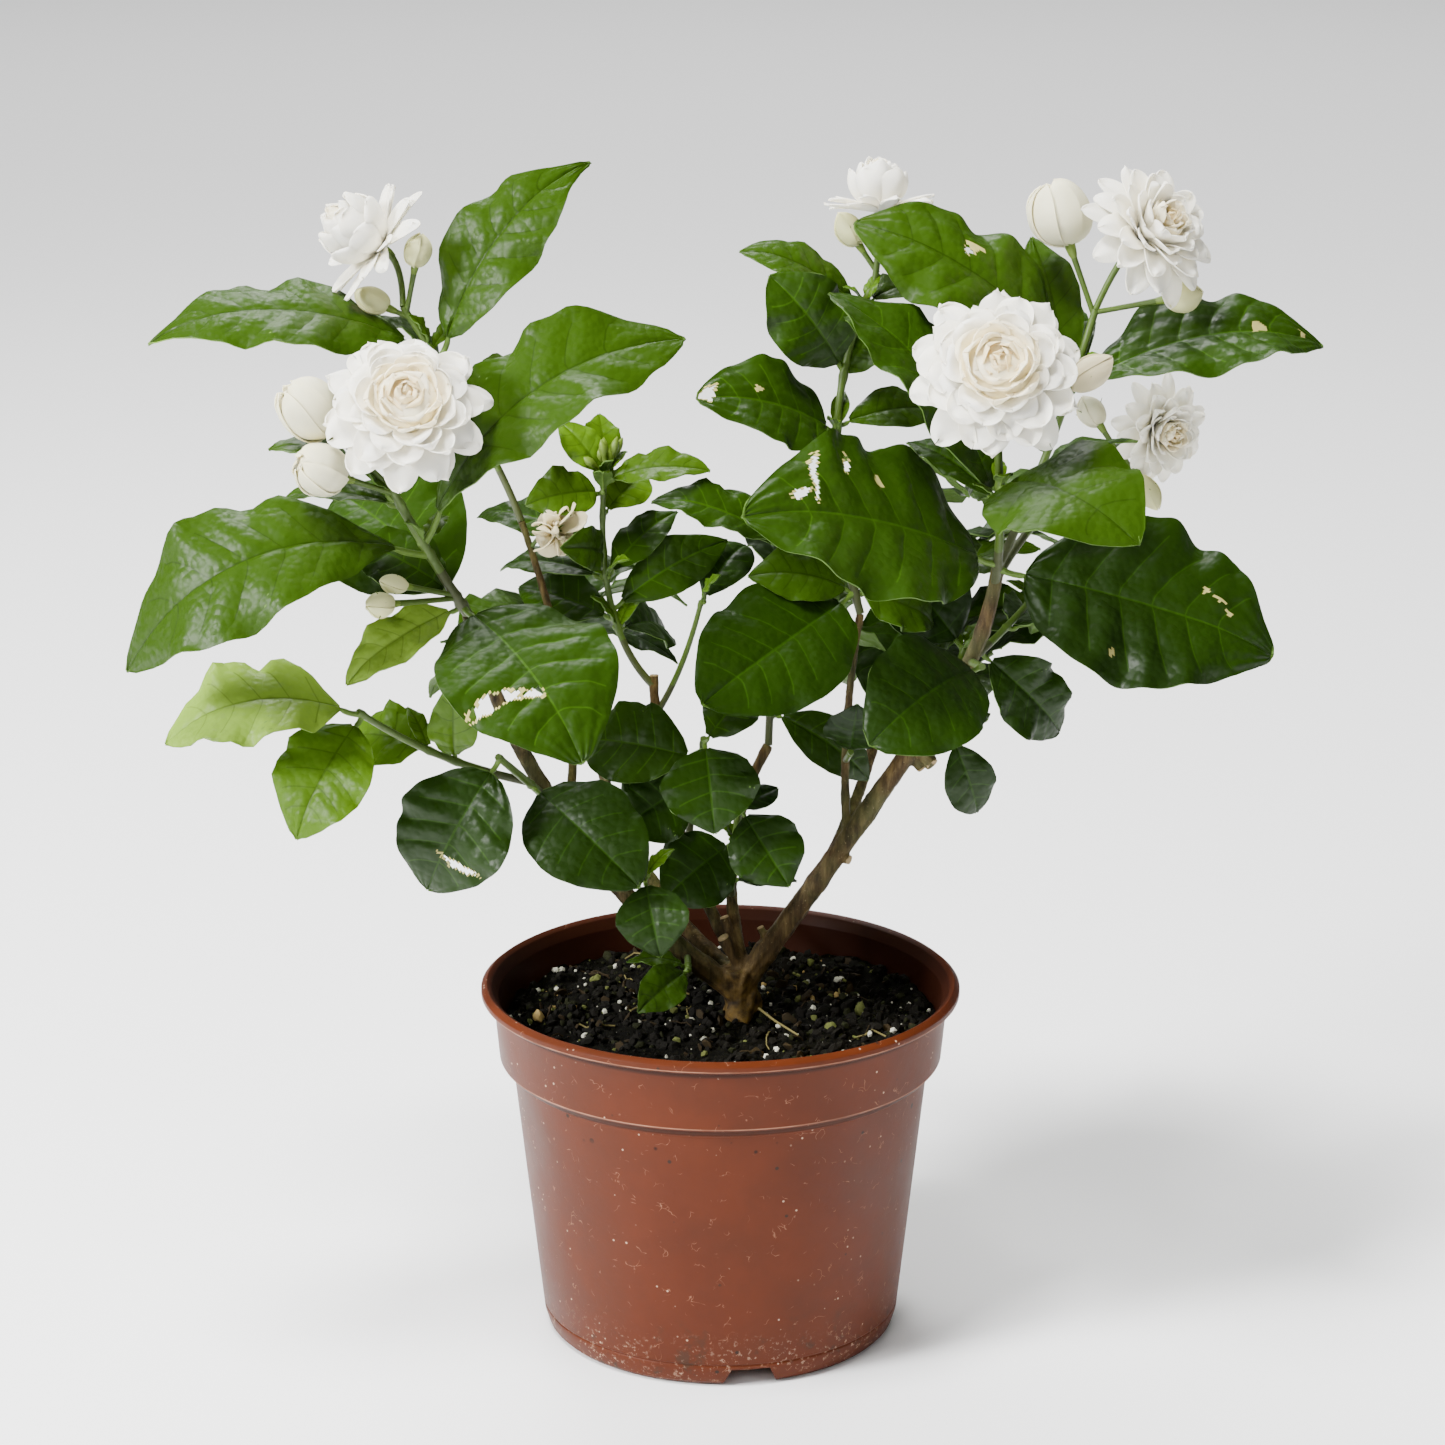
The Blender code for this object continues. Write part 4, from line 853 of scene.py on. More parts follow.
MIDDLING_LEAF = 32


class Look:
    """A Principled material and the nodes that vary it, placed in the object's own space."""

    def __init__(self, name, colour, roughness, **settings):
        self.material = bpy.data.materials.new(name)
        self.material.use_nodes = True
        self.tree = self.material.node_tree
        self.surface = self.tree.nodes["Principled BSDF"]
        self.surface.inputs["Base Color"].default_value = (*colour, 1.0)
        self.surface.inputs["Roughness"].default_value = roughness
        for socket, value in settings.items():
            self.surface.inputs[socket.replace("_", " ")].default_value = value

    def node(self, kind, out, sockets, **settings):
        """One output of a new node, whose sockets take plain values or other outputs."""
        made = self.tree.nodes.new("ShaderNode" + kind)
        for name, value in settings.items():
            setattr(made, name, value)
        for socket, value in sockets.items():
            if isinstance(value, bpy.types.NodeSocket):
                self.tree.links.new(value, made.inputs[socket])
            else:
                made.inputs[socket].default_value = value
        return made.outputs[out]

    def place(self, out="Object"):
        return self.node("TexCoord", out, {})

    def noise(self, scale, detail=3.0, roughness=0.55, stretch=None):
        """Noise in grains per metre."""
        source = self.place()
        if stretch:
            source = self.node("Mapping", "Vector", {"Vector": source, "Scale": stretch})
        sockets = {"Vector": source, "Scale": scale, "Detail": detail, "Roughness": roughness}
        return self.node("TexNoise", "Fac", sockets)

    def cells(self, scale, source=None, feature="F1", **more):
        sockets = {"Vector": source or self.place(), "Scale": scale, **more}
        return self.node("TexVoronoi", "Distance", sockets, feature=feature)

    def ramp(self, source, *stops):
        """A colour ramp over a value; each stop is a place and a colour or a grey."""
        made = self.tree.nodes.new("ShaderNodeValToRGB")
        band = made.color_ramp
        while len(band.elements) < len(stops):
            band.elements.new(0.5)
        for element, (spot, value) in zip(band.elements, stops):
            element.position = spot
            element.color = (*(value if isinstance(value, tuple) else [value] * 3), 1.0)
        self.tree.links.new(source, made.inputs["Fac"])
        return made.outputs["Color"]

    def mix(self, share, first, second):
        """The first colour where the share is 0, the second where it is 1."""
        pair = [(*value, 1.0) if isinstance(value, tuple) else value for value in (first, second)]
        sockets = {"Factor": share, 6: pair[0], 7: pair[1]}
        return self.node("Mix", 2, sockets, data_type="RGBA")

    def times(self, first, second):
        return self.node("Math", "Value", {0: first, 1: second}, operation="MULTIPLY")

    def height_band(self, low, high):
        """A value that goes from 0 at one height in millimetres to 1 at another."""
        height = self.node("SeparateXYZ", "Z", {"Vector": self.place()})
        sockets = {"Value": height, "From Min": low * MM, "From Max": high * MM}
        return self.node("MapRange", "Result", sockets)

    def height_window(self, low, high):
        """A value that is 1 between two heights in millimetres and fades to 0 at both."""
        band = self.height_band(low, high)
        return self.ramp(band, (0.0, 0.0), (0.25, 1.0), (0.75, 1.0), (1.0, 0.0))

    def facing_in(self):
        """1 where a surface faces the upright axis, 0 elsewhere."""
        level = self.node(
            "VectorMath", "Vector", {0: self.place(), 1: (1.0, 1.0, 0.0)}, operation="MULTIPLY"
        )
        inward = self.node(
            "VectorMath", "Value", {0: level, 1: self.place("Normal")}, operation="DOT_PRODUCT"
        )
        sockets = {"Value": inward, "From Min": -20 * MM, "From Max": -45 * MM}
        return self.node("MapRange", "Result", sockets)

    def speckle(self, under, scale, spot, patches, colour, window=None):
        """Round specks of one colour, kept where a coarser noise lets them stand."""
        share = self.ramp(self.cells(scale), (spot[0], 1.0), (spot[1], 0.0))
        grain, detail, low, high = patches
        share = self.times(share, self.ramp(self.noise(grain, detail), (low, 0.0), (high, 1.0)))
        if window:
            share = self.times(share, window)
        return self.mix(share, under, colour)

    def bump(self, height, strength, distance, under=None):
        """Relief on the surface, over an earlier one if given; a negative distance sinks."""
        sockets = {"Strength": strength, "Distance": abs(distance) * MM, "Height": height}
        if under:
            sockets["Normal"] = under
        return self.join("Normal", self.node("Bump", "Normal", sockets, invert=distance < 0))

    def join(self, socket, source):
        self.tree.links.new(source, self.surface.inputs[socket])
        return source


def leaf_material(name, colour, roughness=0.43, level=0.19):
    """Waxy leaf skin, puckered between the finest veins."""
    look = Look(name, colour, roughness, Specular_IOR_Level=level)
    sheen = look.ramp(look.noise(140.0), (0.3, roughness - 0.03), (0.75, roughness + 0.06))
    look.join("Roughness", sheen)
    first = look.bump(look.cells(420.0, feature="SMOOTH_F1", Smoothness=0.35), 0.6, -0.5)
    look.bump(look.noise(110.0, 2.0), 0.12, 0.9, first)
    return look.material


def petal_material(name, colour):
    """Soft petal skin with a fine texture."""
    look = Look(
        name, colour, 0.5, Subsurface_Weight=0.4, Subsurface_Scale=0.005,
        Subsurface_Radius=(1.0, 0.85, 0.6), Specular_IOR_Level=0.3,
    )
    look.bump(look.noise(600.0, 4.0), 0.3, 0.2)
    return look.material


def stem_material(name, colour, roughness=0.5):
    look = Look(name, colour, roughness)
    sheen = look.ramp(look.noise(300.0), (0.3, roughness - 0.08), (0.7, roughness + 0.14))
    look.join("Roughness", sheen)
    look.bump(look.noise(900.0, 4.0, 0.6, (1.0, 1.0, 0.25)), 0.5, 0.25)
    return look.material


def bark_material():
    """Brown bark streaked lengthwise, with green patches, pale pores and an ochre foot."""
    look = Look("bark", (0.06, 0.04, 0.015), 0.8, Specular_IOR_Level=0.3)
    streaks = look.noise(420.0, 6.0, 0.65, (1.0, 1.0, 0.16))
    dark, brown, pale = (0.010, 0.006, 0.002), (0.050, 0.029, 0.008), (0.120, 0.080, 0.026)
    wood = look.ramp(streaks, (0.30, dark), (0.5, brown), (0.70, pale))
    mossy = look.ramp(streaks, (0.3, (0.014, 0.015, 0.003)), (0.7, (0.080, 0.072, 0.020)))
    colour = look.mix(look.ramp(look.noise(60.0, 4.0), (0.42, 0.0), (0.62, 1.0)), wood, mossy)
    pores = look.ramp(look.noise(1300.0, 2.0), (0.68, 0.0), (0.74, 0.7))
    colour = look.mix(pores, colour, (0.19, 0.15, 0.07))
    earth, ochre = (0.012, 0.006, 0.001), (0.13, 0.076, 0.014)
    foot = look.ramp(look.noise(260.0, 5.0), (0.35, earth), (0.65, ochre))
    colour = look.mix(look.height_band(SOIL_HEIGHT + 22, SOIL_HEIGHT), colour, foot)
    look.join("Base Color", colour)
    look.join("Roughness", look.ramp(streaks, (0.2, 0.9), (0.8, 0.62)))
    first = look.bump(streaks, 0.8, 0.6)
    look.bump(look.noise(1500.0, 3.0), 0.4, 0.2, first)
    return look.material


def hair_scratches(look):
    """The edges of warped cells, as fine as hairs."""
    wander = look.node("TexNoise", "Color", {"Vector": look.place(), "Scale": 160.0})
    sockets = {0: wander, 1: (0.012, 0.012, 0.012), 2: look.place()}
    warped = look.node("VectorMath", "Vector", sockets, operation="MULTIPLY_ADD")
    return look.ramp(look.cells(150.0, warped, "DISTANCE_TO_EDGE"), (0.004, 0.8), (0.016, 0.0))


def edge_wear_and_painted_light(look, colour):
    """The lip and the band's foot: wear and painted highlight on the edge, painted shadow and dirt
    below.
    """
    scuffs_and_glints = look.ramp(look.noise(55.0, 4.0), (0.38, 0.25), (0.6, 0.85))
    for edge in (POT_HEIGHT - LIP_DEPTH + 0.9, BAND_FOOT_HEIGHT):
        # Painted highlight along the edge, partly chafed wear
        chafe_and_highlight = look.times(look.height_window(edge - 0.1, edge + 0.45), scuffs_and_glints)
        colour = look.mix(chafe_and_highlight, colour, (0.30, 0.14, 0.085))
        # Painted shadow below the edge, partly dirt
        groove = look.height_window(edge - 3.4, edge + 0.1)
        colour = look.mix(groove, colour, (0.030, 0.008, 0.0035))
    return colour


def plastic_material():
    """Terracotta-coloured plastic: clouded, hair scratches, pale specks, dirt, painted light and
    shade.
    """
    look = Look("terracotta_plastic", (0.1, 0.022, 0.008), 0.45, Specular_IOR_Level=0.12)
    clouds = look.noise(22.0, 5.0, 0.6)
    colour = look.ramp(clouds, (0.3, (0.060, 0.0125, 0.0036)), (0.7, (0.086, 0.0182, 0.0054)))
    grime = look.ramp(look.noise(34.0, 6.0, 0.65), (0.48, 0.0), (0.72, 0.45))
    colour = look.mix(grime, colour, (0.048, 0.014, 0.006))
    hair = hair_scratches(look)
    runs = look.ramp(look.noise(210.0, 2.0), (0.585, 0.0), (0.65, 0.8))
    colour = look.mix(look.times(hair, runs), colour, (0.28, 0.125, 0.07))
    pale = (0.10, 0.15), (90.0, 2.0, 0.56, 0.62), (0.42, 0.28, 0.19)
    colour = look.speckle(colour, 360.0, *pale)
    # Lime at the foot, in patches
    chalk = look.ramp(look.noise(620.0, 5.0, 0.7), (0.565, 0.0), (0.65, 0.9))
    patches = look.ramp(look.noise(70.0, 3.0), (0.38, 0.0), (0.55, 1.0))
    chalk = look.times(look.times(chalk, patches), look.height_band(19.0, 6.0))
    colour = look.mix(chalk, colour, (0.34, 0.21, 0.14))
    dark = (0.07, 0.11), (60.0, 1.0, 0.56, 0.60), (0.02, 0.012, 0.008)
    colour = look.speckle(colour, 140.0, *dark)
    dirt = look.ramp(look.noise(150.0, 5.0, 0.7), (0.56, 0.0), (0.66, 1.0))
    colour = look.mix(look.times(look.height_band(26.0, 0.0), dirt), colour, (0.03, 0.018, 0.01))
    # Wear with painted highlight on the lip and band foot, painted shadow and dirt below them
    colour = edge_wear_and_painted_light(look, colour)
    below = look.height_window(BAND_FOOT_HEIGHT - 12, BAND_FOOT_HEIGHT - 1)
    pits = (0.13, 0.2), (60.0, 1.0, 0.53, 0.56), (0.008, 0.005, 0.003)
    colour = look.speckle(colour, 190.0, *pits, below)
    # Painted shade: the inner wall is darkened, as the crown's shade falls inside the pot
    look.join("Base Color", look.mix(look.facing_in(), colour, (0.026, 0.0068, 0.003)))
    look.join("Roughness", look.ramp(clouds, (0.3, 0.4), (0.7, 0.54)))
    first = look.bump(look.noise(240.0, 4.0), 0.12, 0.3)
    look.bump(hair, 0.15, -0.1, first)
    return look.material


def mix_material():
    """Damp, dark potting mix, with painted shade that makes its hollows nearly black."""
    look = Look("potting_mix", (0.006, 0.004, 0.003), 0.9, Specular_IOR_Level=0.12)
    grains = look.noise(900.0, 5.0, 0.7)
    hollow_shade, crumb, dry = (0.0008, 0.0007, 0.0004), (0.0045, 0.0040, 0.0016), (0.024, 0.021, 0.008)
    # Painted shade: near black where the grains dip, the same grains that raise the bumps
    look.join("Base Color", look.ramp(grains, (0.40, hollow_shade), (0.62, crumb), (0.76, dry)))
    look.bump(grains, 1.0, 1.2)
    return look.material


def mineral_material(name, colour, roughness=0.8):
    look = Look(name, colour, roughness, Specular_IOR_Level=0.2)
    look.bump(look.noise(1800.0, 4.0), 0.7, 0.3)
    return look.material


class Pile:
    """Thin closed sheets, tubes and lumps gathered into one mesh, a material to each face."""

    def __init__(self, name, looks):
        self.name = name
        self.looks = looks
        self.points = []
        self.faces = []
        self.shades = []
        self.count = 0

    def add(self, points, faces, shades):
        points = np.asarray(points, float).reshape(-1, 3)
        self.points.append(points)
        self.faces += [[corner + self.count for corner in face] for face in faces]
        self.shades += shades
        self.count += len(points)

    def sheet(self, upper, thickness, top, under, facing, keep=None):
        """A closed sheet under a grid of points, with cells left out where keep says so."""
        rows, columns = upper.shape[:2]
        normals = np.cross(np.gradient(upper, axis=0), np.gradient(upper, axis=1))
        length = np.linalg.norm(normals, axis=2, keepdims=True)
        normals = normals / np.maximum(length, 1e-12)
        flip = (normals * np.asarray(facing)).sum() < 0
        if flip:
            normals = -normals
        depth = np.broadcast_to(thickness, (rows, columns))[..., None] * MM
        lower = upper - normals * depth
        if keep is None:
            keep = np.ones((rows - 1, columns - 1), bool)
        top = np.broadcast_to(top, keep.shape)
        under = np.broadcast_to(under, keep.shape)
        index = np.arange(rows * columns).reshape(rows, columns)
        low = rows * columns
        i, j = np.nonzero(keep)
        a, b, c, d = index[i, j], index[i + 1, j], index[i + 1, j + 1], index[i, j + 1]
        quads = [np.stack([a, b, c, d], 1), np.stack([d, c, b, a], 1) + low]
        shades = [top[i, j], under[i, j]]
        framed = np.pad(keep, 1)
        for di, dj, start, end in ((-1, 0, a, d), (1, 0, c, b), (0, -1, b, a), (0, 1, d, c)):
            rim = ~framed[i + 1 + di, j + 1 + dj]
            first, last = start[rim], end[rim]
            quads.append(np.stack([first, last, last + low, first + low], 1))
            shades.append(under[i, j][rim])
        faces = np.concatenate(quads)
        if flip:
            faces = faces[:, ::-1]
        used, renamed = np.unique(faces, return_inverse=True)
        points = np.concatenate([upper.reshape(-1, 3), lower.reshape(-1, 3)])[used]
        self.add(points, renamed.reshape(faces.shape).tolist(), np.concatenate(shades).tolist())

    def sweep(self, points, radii, sides, shade):
        """A tube through the points; radii may differ from side to side."""
        points = [Vector(point) for point in points]
        radii = np.asarray(radii, float)
        if radii.ndim == 1:
            radii = np.repeat(radii[:, None], sides, 1)
        rings = len(points)
        aside = None
        ring_points = []
        for number, point in enumerate(points):
            ahead = points[min(number + 1, rings - 1)] - points[max(number - 1, 0)]
            ahead.normalize()
            aside = ahead.orthogonal() if aside is None else aside - ahead * aside.dot(ahead)
            aside.normalize()
            upward = ahead.cross(aside)
            for side in range(sides):
                angle = 2 * math.pi * side / sides
                away = aside * math.cos(angle) + upward * math.sin(angle)
                ring_points.append(point + away * radii[number, side])
        faces = []
        for ring in range(rings - 1):
            for side in range(sides):
                after = (side + 1) % sides
                low, high = ring * sides, (ring + 1) * sides
                faces.append([low + side, low + after, high + after, high + side])
        faces.append(list(range(sides))[::-1])
        faces.append([(rings - 1) * sides + side for side in range(sides)])
        shades = [shade] * len(faces) if isinstance(shade, int) else shade(rings - 1, sides)
        self.add([tuple(point) for point in ring_points], faces, shades)

    def lump(self, centre, size, dice, shade, detail=1, flat=1.0):
        """An uneven grain or crumb."""
        bm = bmesh.new()
        bmesh.ops.create_icosphere(bm, subdivisions=detail, radius=1.0)
        turn = Vector([dice.uniform(-1, 1) for _ in range(3)]).to_track_quat("Z", "Y").to_matrix()
        wide, deep, tall = dice.uniform(0.7, 1.2), dice.uniform(0.7, 1.2), dice.uniform(0.6, 1.0)
        spread = Vector((wide, deep, flat * tall))
        points = []
        for vert in bm.verts:
            rough = vert.co * dice.uniform(0.8, 1.12)
            points.append(tuple(centre + turn @ (rough * spread) * size / 2 * MM))
        faces = [[vert.index for vert in face.verts] for face in bm.faces]
        bm.free()
        self.add(points, faces, [shade] * len(faces))

    def piece(self, sharp=50):
        """The gathered mesh as an object, its edges sharp past an angle in degrees."""
        mesh = bpy.data.meshes.new(self.name)
        mesh.from_pydata(np.concatenate(self.points).tolist(), [], self.faces)
        for look in self.looks:
            mesh.materials.append(look)
        mesh.polygons.foreach_set("material_index", self.shades)
        mesh.shade_smooth()
        mesh.set_sharp_from_angle(angle=math.radians(sharp))
        return linked(self.name, mesh)


# How one leaf departs from the plain blade of its solid: aim is a heading and rise of its own,
# waist and full shape its outline, drawn narrows it before the tip, wave and waves ruffle its
# margin, and shade and under choose its greens. Lengths are shares of its length or half width.
Form = namedtuple(
    "Form",
    "aim wide waist full drawn sway twist droop wave waves phase tip bend shade under marks",
)
# A blemish lies at a share along and across the blade, and covers these shares of both.
Mark = namedtuple("Mark", "kind along across long wide")


def leaf_form(leaf_name, shade_range, dice):
    """The form of a leaf: drawn by rule, then changed where FORMS says so."""
    form = Form(
        aim=None,
        wide=1.0,
        waist=dice.uniform(0.85, 1.05),
        full=dice.uniform(0.58, 0.72),
        drawn=dice.uniform(0.05, 0.2),
        sway=dice.uniform(-0.06, 0.06),
        twist=dice.uniform(-16, 16),
        droop=dice.uniform(0.05, 0.25),
        wave=dice.uniform(0.08, 0.2),
        waves=dice.uniform(1.6, 2.9),
        phase=dice.uniform(0, 1),
        tip=dice.uniform(0.0, 0.08),
        bend=0.0,
        shade=dice.randint(*shade_range),
        under=0,
        marks=(),
    )
    return form._replace(**FORMS.get(leaf_name, {}))


def vein_feet(count):
    """Shares of the blade at which its side veins leave the midrib."""
    return [0.05 + 0.8 * ((number + 0.4) / count) for number in range(count)]


def leaf_rows(feet, half_band, steps):
    """Shares for the rows of a blade, with a close pair at each vein, and which are veins."""
    rows, veins = [0.0], []
    for foot in (*feet, None):
        end = 1.0 if foot is None else foot - half_band
        start = rows[-1]
        rows += [start + (end - start) * (step + 1) / steps for step in range(steps)]
        veins += [False] * steps
        if foot is not None:
            rows.append(foot + half_band)
            veins.append(True)
    return np.array(rows), np.array(veins)


def leaf_columns(half_band, fine):
    """Shares across half a blade, closer at the midrib and margin, mirrored to both sides."""
    spread = [0.1, 0.2, 0.34, 0.48, 0.62, 0.75, 0.86, 0.94, 1.0]
    for _ in range(2 if fine else 0):
        spread = sorted(spread + [(low + high) / 2 for low, high in zip(spread, spread[1:])])
    half = [half_band, *spread]
    return np.array([-share for share in half[::-1]] + [0.0] + half)


def blade_half_width(along, width, form):
    """Half the width at shares of the blade, from its foot to a drawn-out tip."""
    along = np.clip(along, 0.0, 1.0)
    body = width / 2 * np.sin(np.pi * along**form.waist) ** form.full
    near_tip = np.clip((along - 0.76) / 0.17, 0.0, 1.0) * np.clip((1.0 - along) / 0.03, 0.0, 1.0)
    foot = PETIOLE_WIDTH / 2 * np.clip(1 - along / 0.05, 0.0, 1.0)
    return np.maximum(body * (1 - form.drawn * near_tip), 0.12) + foot


def set_out(origin, axes, parts):
    """Grid points from an origin in metres, given along three axes in millimetres."""
    parts = np.broadcast_arrays(*parts)
    out = sum(part[..., None] * np.array(axis) for part, axis in zip(parts, axes))
    return np.array(origin) + out * MM


def blade_points(blade, form, share, across, relief):
    """Points of a leaf's upper side at shares along and across its blade."""
    side = np.abs(across)
    along = PETIOLE + (1 - PETIOLE) * share
    half = blade_half_width(share, blade.width * form.wide, form)
    hand = np.where(across > 0, 0.31, 0.0)
    ruffle = np.sin(2 * np.pi * (form.waves * share + form.phase + hand))
    ruffle = ruffle + 0.45 * np.sin(2 * np.pi * (2.3 * form.waves * share + 2 * form.phase - hand))
    lift = blade.arch * blade.length * 4 * along * (1 - along)
    lift = lift + blade.fold * half * (np.sqrt(side**2 + 0.015) - 0.12)
    lift = lift - form.droop * half * side**2
    lift = lift + form.wave * half * side**2.2 * ruffle
    lift = lift - form.tip * blade.length * np.clip((share - 0.7) / 0.3, 0.0, 1.0) ** 2
    lift = lift + relief
    angle = np.radians(form.twist) * share
    wide = across * half * (1 + 0.025 * ruffle * side**3)
    bow = form.sway * share**2 + form.bend * 4 * share * (1 - share)
    reach = wide * np.cos(angle) + bow * blade.length
    rise = lift + wide * np.sin(angle)
    axes = (blade.chord, blade.side, blade.upper)
    return set_out(blade.root, axes, (blade.length * along, reach, rise))


def marked_cells(form, share, across, top):
    """Colours the scars and the rims of a leaf's holes, and tells which cells are kept."""
    keep = np.ones(share.shape, bool)
    for mark in form.marks:
        up, over = (share - mark.along) / mark.long, (across - mark.across) / mark.wide
        angle = np.arctan2(up, over) + 9 * mark.along
        ragged = 1 + sum(
            depth * np.sin(folds * angle + start)
            for depth, folds, start in ((0.16, 3, 0), (0.12, 7, 2), (0.08, 13, 0))
        )
        away = np.sqrt(up**2 + over**2) * ragged
        if mark.kind == "hole":
            keep &= away > 1
            top[(away <= HOLE_RIM) & (away > 1)] = SCAR_SHADE
        else:
            top[away <= 1] = SCAR_SHADE
    return keep


def leaf_relief(form, share, across, order, scale, width):
    """How far the skin swells between the veins, puckers, and sinks along the midrib."""
    side = np.abs(across)
    swell = np.abs(np.sin(np.pi * order)) ** 0.7 - 0.55
    spread = np.clip(side / 0.25, 0.0, 1.0) * (1 - 0.75 * side**2)
    relief = QUILT * scale * swell * spread
    first = np.sin(19 * share + 7 * across + 9 * form.phase)
    second = np.sin(23 * share - 11 * across + 5 * form.waves)
    relief = relief + PUCKER * scale * first * second * np.clip(side / 0.2, 0.0, 1.0)
    groove = np.exp(-((across * width / 2 / 0.8) ** 2))
    return relief - MIDRIB_GROOVE * scale**0.5 * groove


def add_leaf(pile, blade, form):
    """A veined blade with its midrib below and its petiole, as closed sheets and tubes."""
    if form.aim:
        chord = direction(*form.aim)
        blade = Blade(blade.root, chord, blade.upper, blade.length, blade.width, blade.arch)
    size = blade.length
    count = 6 if size > FINE_LEAF else 5 if size > MIDDLING_LEAF else 4
    feet = vein_feet(count)
    fine = bool(form.marks)
    steps = (4 if size > FINE_LEAF else 3) * (3 if fine else 1)
    rows, veins = leaf_rows(feet, VEIN_BAND / 2 / size, steps)
    columns = leaf_columns(min(MIDRIB_BAND / blade.width, 0.06), fine)
    start, across = rows[:, None], columns[None, :]
    room = 4 * start * (1 - start)
    share = start + VEIN_LEAN * room * np.abs(across) ** 1.25
    share = share + VEIN_STAGGER * room * np.tanh(across / 0.08)
    order = np.interp(rows, [0.0, *feet, 1.0], range(count + 2))[:, None]
    scale = size / LEAF_SCALE
    relief = leaf_relief(form, share, across, order, scale, blade.width)
    upper = blade_points(blade, form, share, across, relief)
    cell_share = (share[:-1, :-1] + share[1:, 1:]) / 2
    cell_across = np.broadcast_to((across[:, :-1] + across[:, 1:]) / 2, cell_share.shape)
    top = np.full(cell_share.shape, form.shade)
    top[veins[:, None] & (np.abs(cell_across) < VEIN_REACH)] = form.shade + VEIN_SHADES
    top[np.abs(cell_across) < MIDRIB_BAND / blade.width] = form.shade + VEIN_SHADES
    keep = marked_cells(form, cell_share, cell_across, top)
    pile.sheet(upper, LEAF_SHEET, top, UNDER_SHADE + form.under, blade.upper, keep)
    add_rib(pile, blade, form, scale)


def add_rib(pile, blade, form, scale):
    """The midrib, proud of the underside, and the petiole that it runs on as."""
    line = np.linspace(0.0, RIB_REACH, 14)
    flat = np.zeros_like(line)
    normal = np.array(blade.upper) * MM
    radii = RIB_RADIUS * (0.35 + 0.65 * scale) * (1 - 0.82 * line)
    sunk = MIDRIB_GROOVE * scale**0.5 + radii + 0.1
    rib = blade_points(blade, form, line, flat, flat) - normal * sunk[:, None]
    pile.sweep(rib, radii * MM, 6, RIB_SHADE)
    joint = np.array(blade.root)
    spots = [
        joint + (rib[0] - joint) * t - normal * PETIOLE_SAG * math.sin(math.pi * t)
        for t in np.linspace(0.0, 1.0, 6)
    ]
    thick = (0.75 + 0.35 * scale) * MM
    swell = (1.25, 1.0, 0.9, 0.9, 0.9)
    pile.sweep(spots, [*(thick * share for share in swell), radii[0] * MM], 8, RIB_SHADE)


# A whorl of petals: how many, where its tips and the pull of its curve lie out from and up
# the axis, how wide, cupped and pointed a petal is, all as shares of half the diameter.
Whorl = namedtuple("Whorl", "count tip pull width cup point shade")
FULL_BLOOM = (
    Whorl(10, (1.04, -0.08), (0.52, 0.20), 0.64, 0.05, 0.15, 0),
    Whorl(9, (0.95, 0.06), (0.50, 0.24), 0.66, 0.12, 0.1, 0),
    Whorl(9, (0.84, 0.18), (0.54, 0.26), 0.62, 0.16, 0.05, 0),
    Whorl(8, (0.73, 0.28), (0.52, 0.30), 0.60, 0.18, 0.0, 0),
    Whorl(7, (0.62, 0.36), (0.50, 0.32), 0.62, 0.18, 0.0, 0),
    Whorl(6, (0.50, 0.43), (0.46, 0.34), 0.62, 0.20, 0.0, 1),
    Whorl(6, (0.39, 0.47), (0.40, 0.36), 0.58, 0.22, 0.0, 1),
    Whorl(5, (0.28, 0.51), (0.34, 0.38), 0.56, 0.26, 0.0, 1),
    Whorl(4, (0.18, 0.53), (0.28, 0.40), 0.50, 0.30, 0.0, 2),
    Whorl(4, (0.09, 0.55), (0.22, 0.42), 0.42, 0.36, 0.0, 2),
    Whorl(3, (0.01, 0.55), (0.15, 0.42), 0.32, 0.46, 0.0, 2),
)
LOOSE_BLOOM = (
    Whorl(9, (1.04, -0.10), (0.52, 0.22), 0.60, 0.05, 0.35, 0),
    Whorl(9, (0.97, 0.10), (0.50, 0.26), 0.60, 0.10, 0.35, 0),
    Whorl(8, (0.84, 0.30), (0.48, 0.26), 0.56, 0.16, 0.3, 0),
    Whorl(8, (0.70, 0.42), (0.44, 0.30), 0.54, 0.20, 0.25, 0),
    Whorl(7, (0.55, 0.51), (0.40, 0.34), 0.50, 0.26, 0.2, 0),
    Whorl(6, (0.40, 0.57), (0.34, 0.38), 0.46, 0.32, 0.1, 0),
    Whorl(5, (0.27, 0.60), (0.26, 0.40), 0.40, 0.38, 0.0, 1),
    Whorl(5, (0.15, 0.61), (0.20, 0.42), 0.34, 0.46, 0.0, 1),
    Whorl(4, (0.04, 0.60), (0.13, 0.42), 0.26, 0.56, 0.0, 2),
)
DOMED_BLOOM = (
    Whorl(8, (1.06, 0.02), (0.50, -0.06), 0.50, 0.10, 0.4, 0),
    Whorl(7, (0.98, 0.14), (0.46, 0.00), 0.52, 0.12, 0.3, 0),
    Whorl(6, (0.52, 0.58), (0.72, 0.14), 0.78, 0.34, 0.0, 0),
    Whorl(6, (0.34, 0.76), (0.66, 0.26), 0.76, 0.42, 0.0, 0),
    Whorl(5, (0.16, 0.83), (0.58, 0.40), 0.70, 0.50, 0.0, 0),
    Whorl(4, (0.03, 0.85), (0.46, 0.50), 0.62, 0.60, 0.0, 1),
    Whorl(3, (0.00, 0.82), (0.30, 0.50), 0.48, 0.70, 0.0, 1),
)
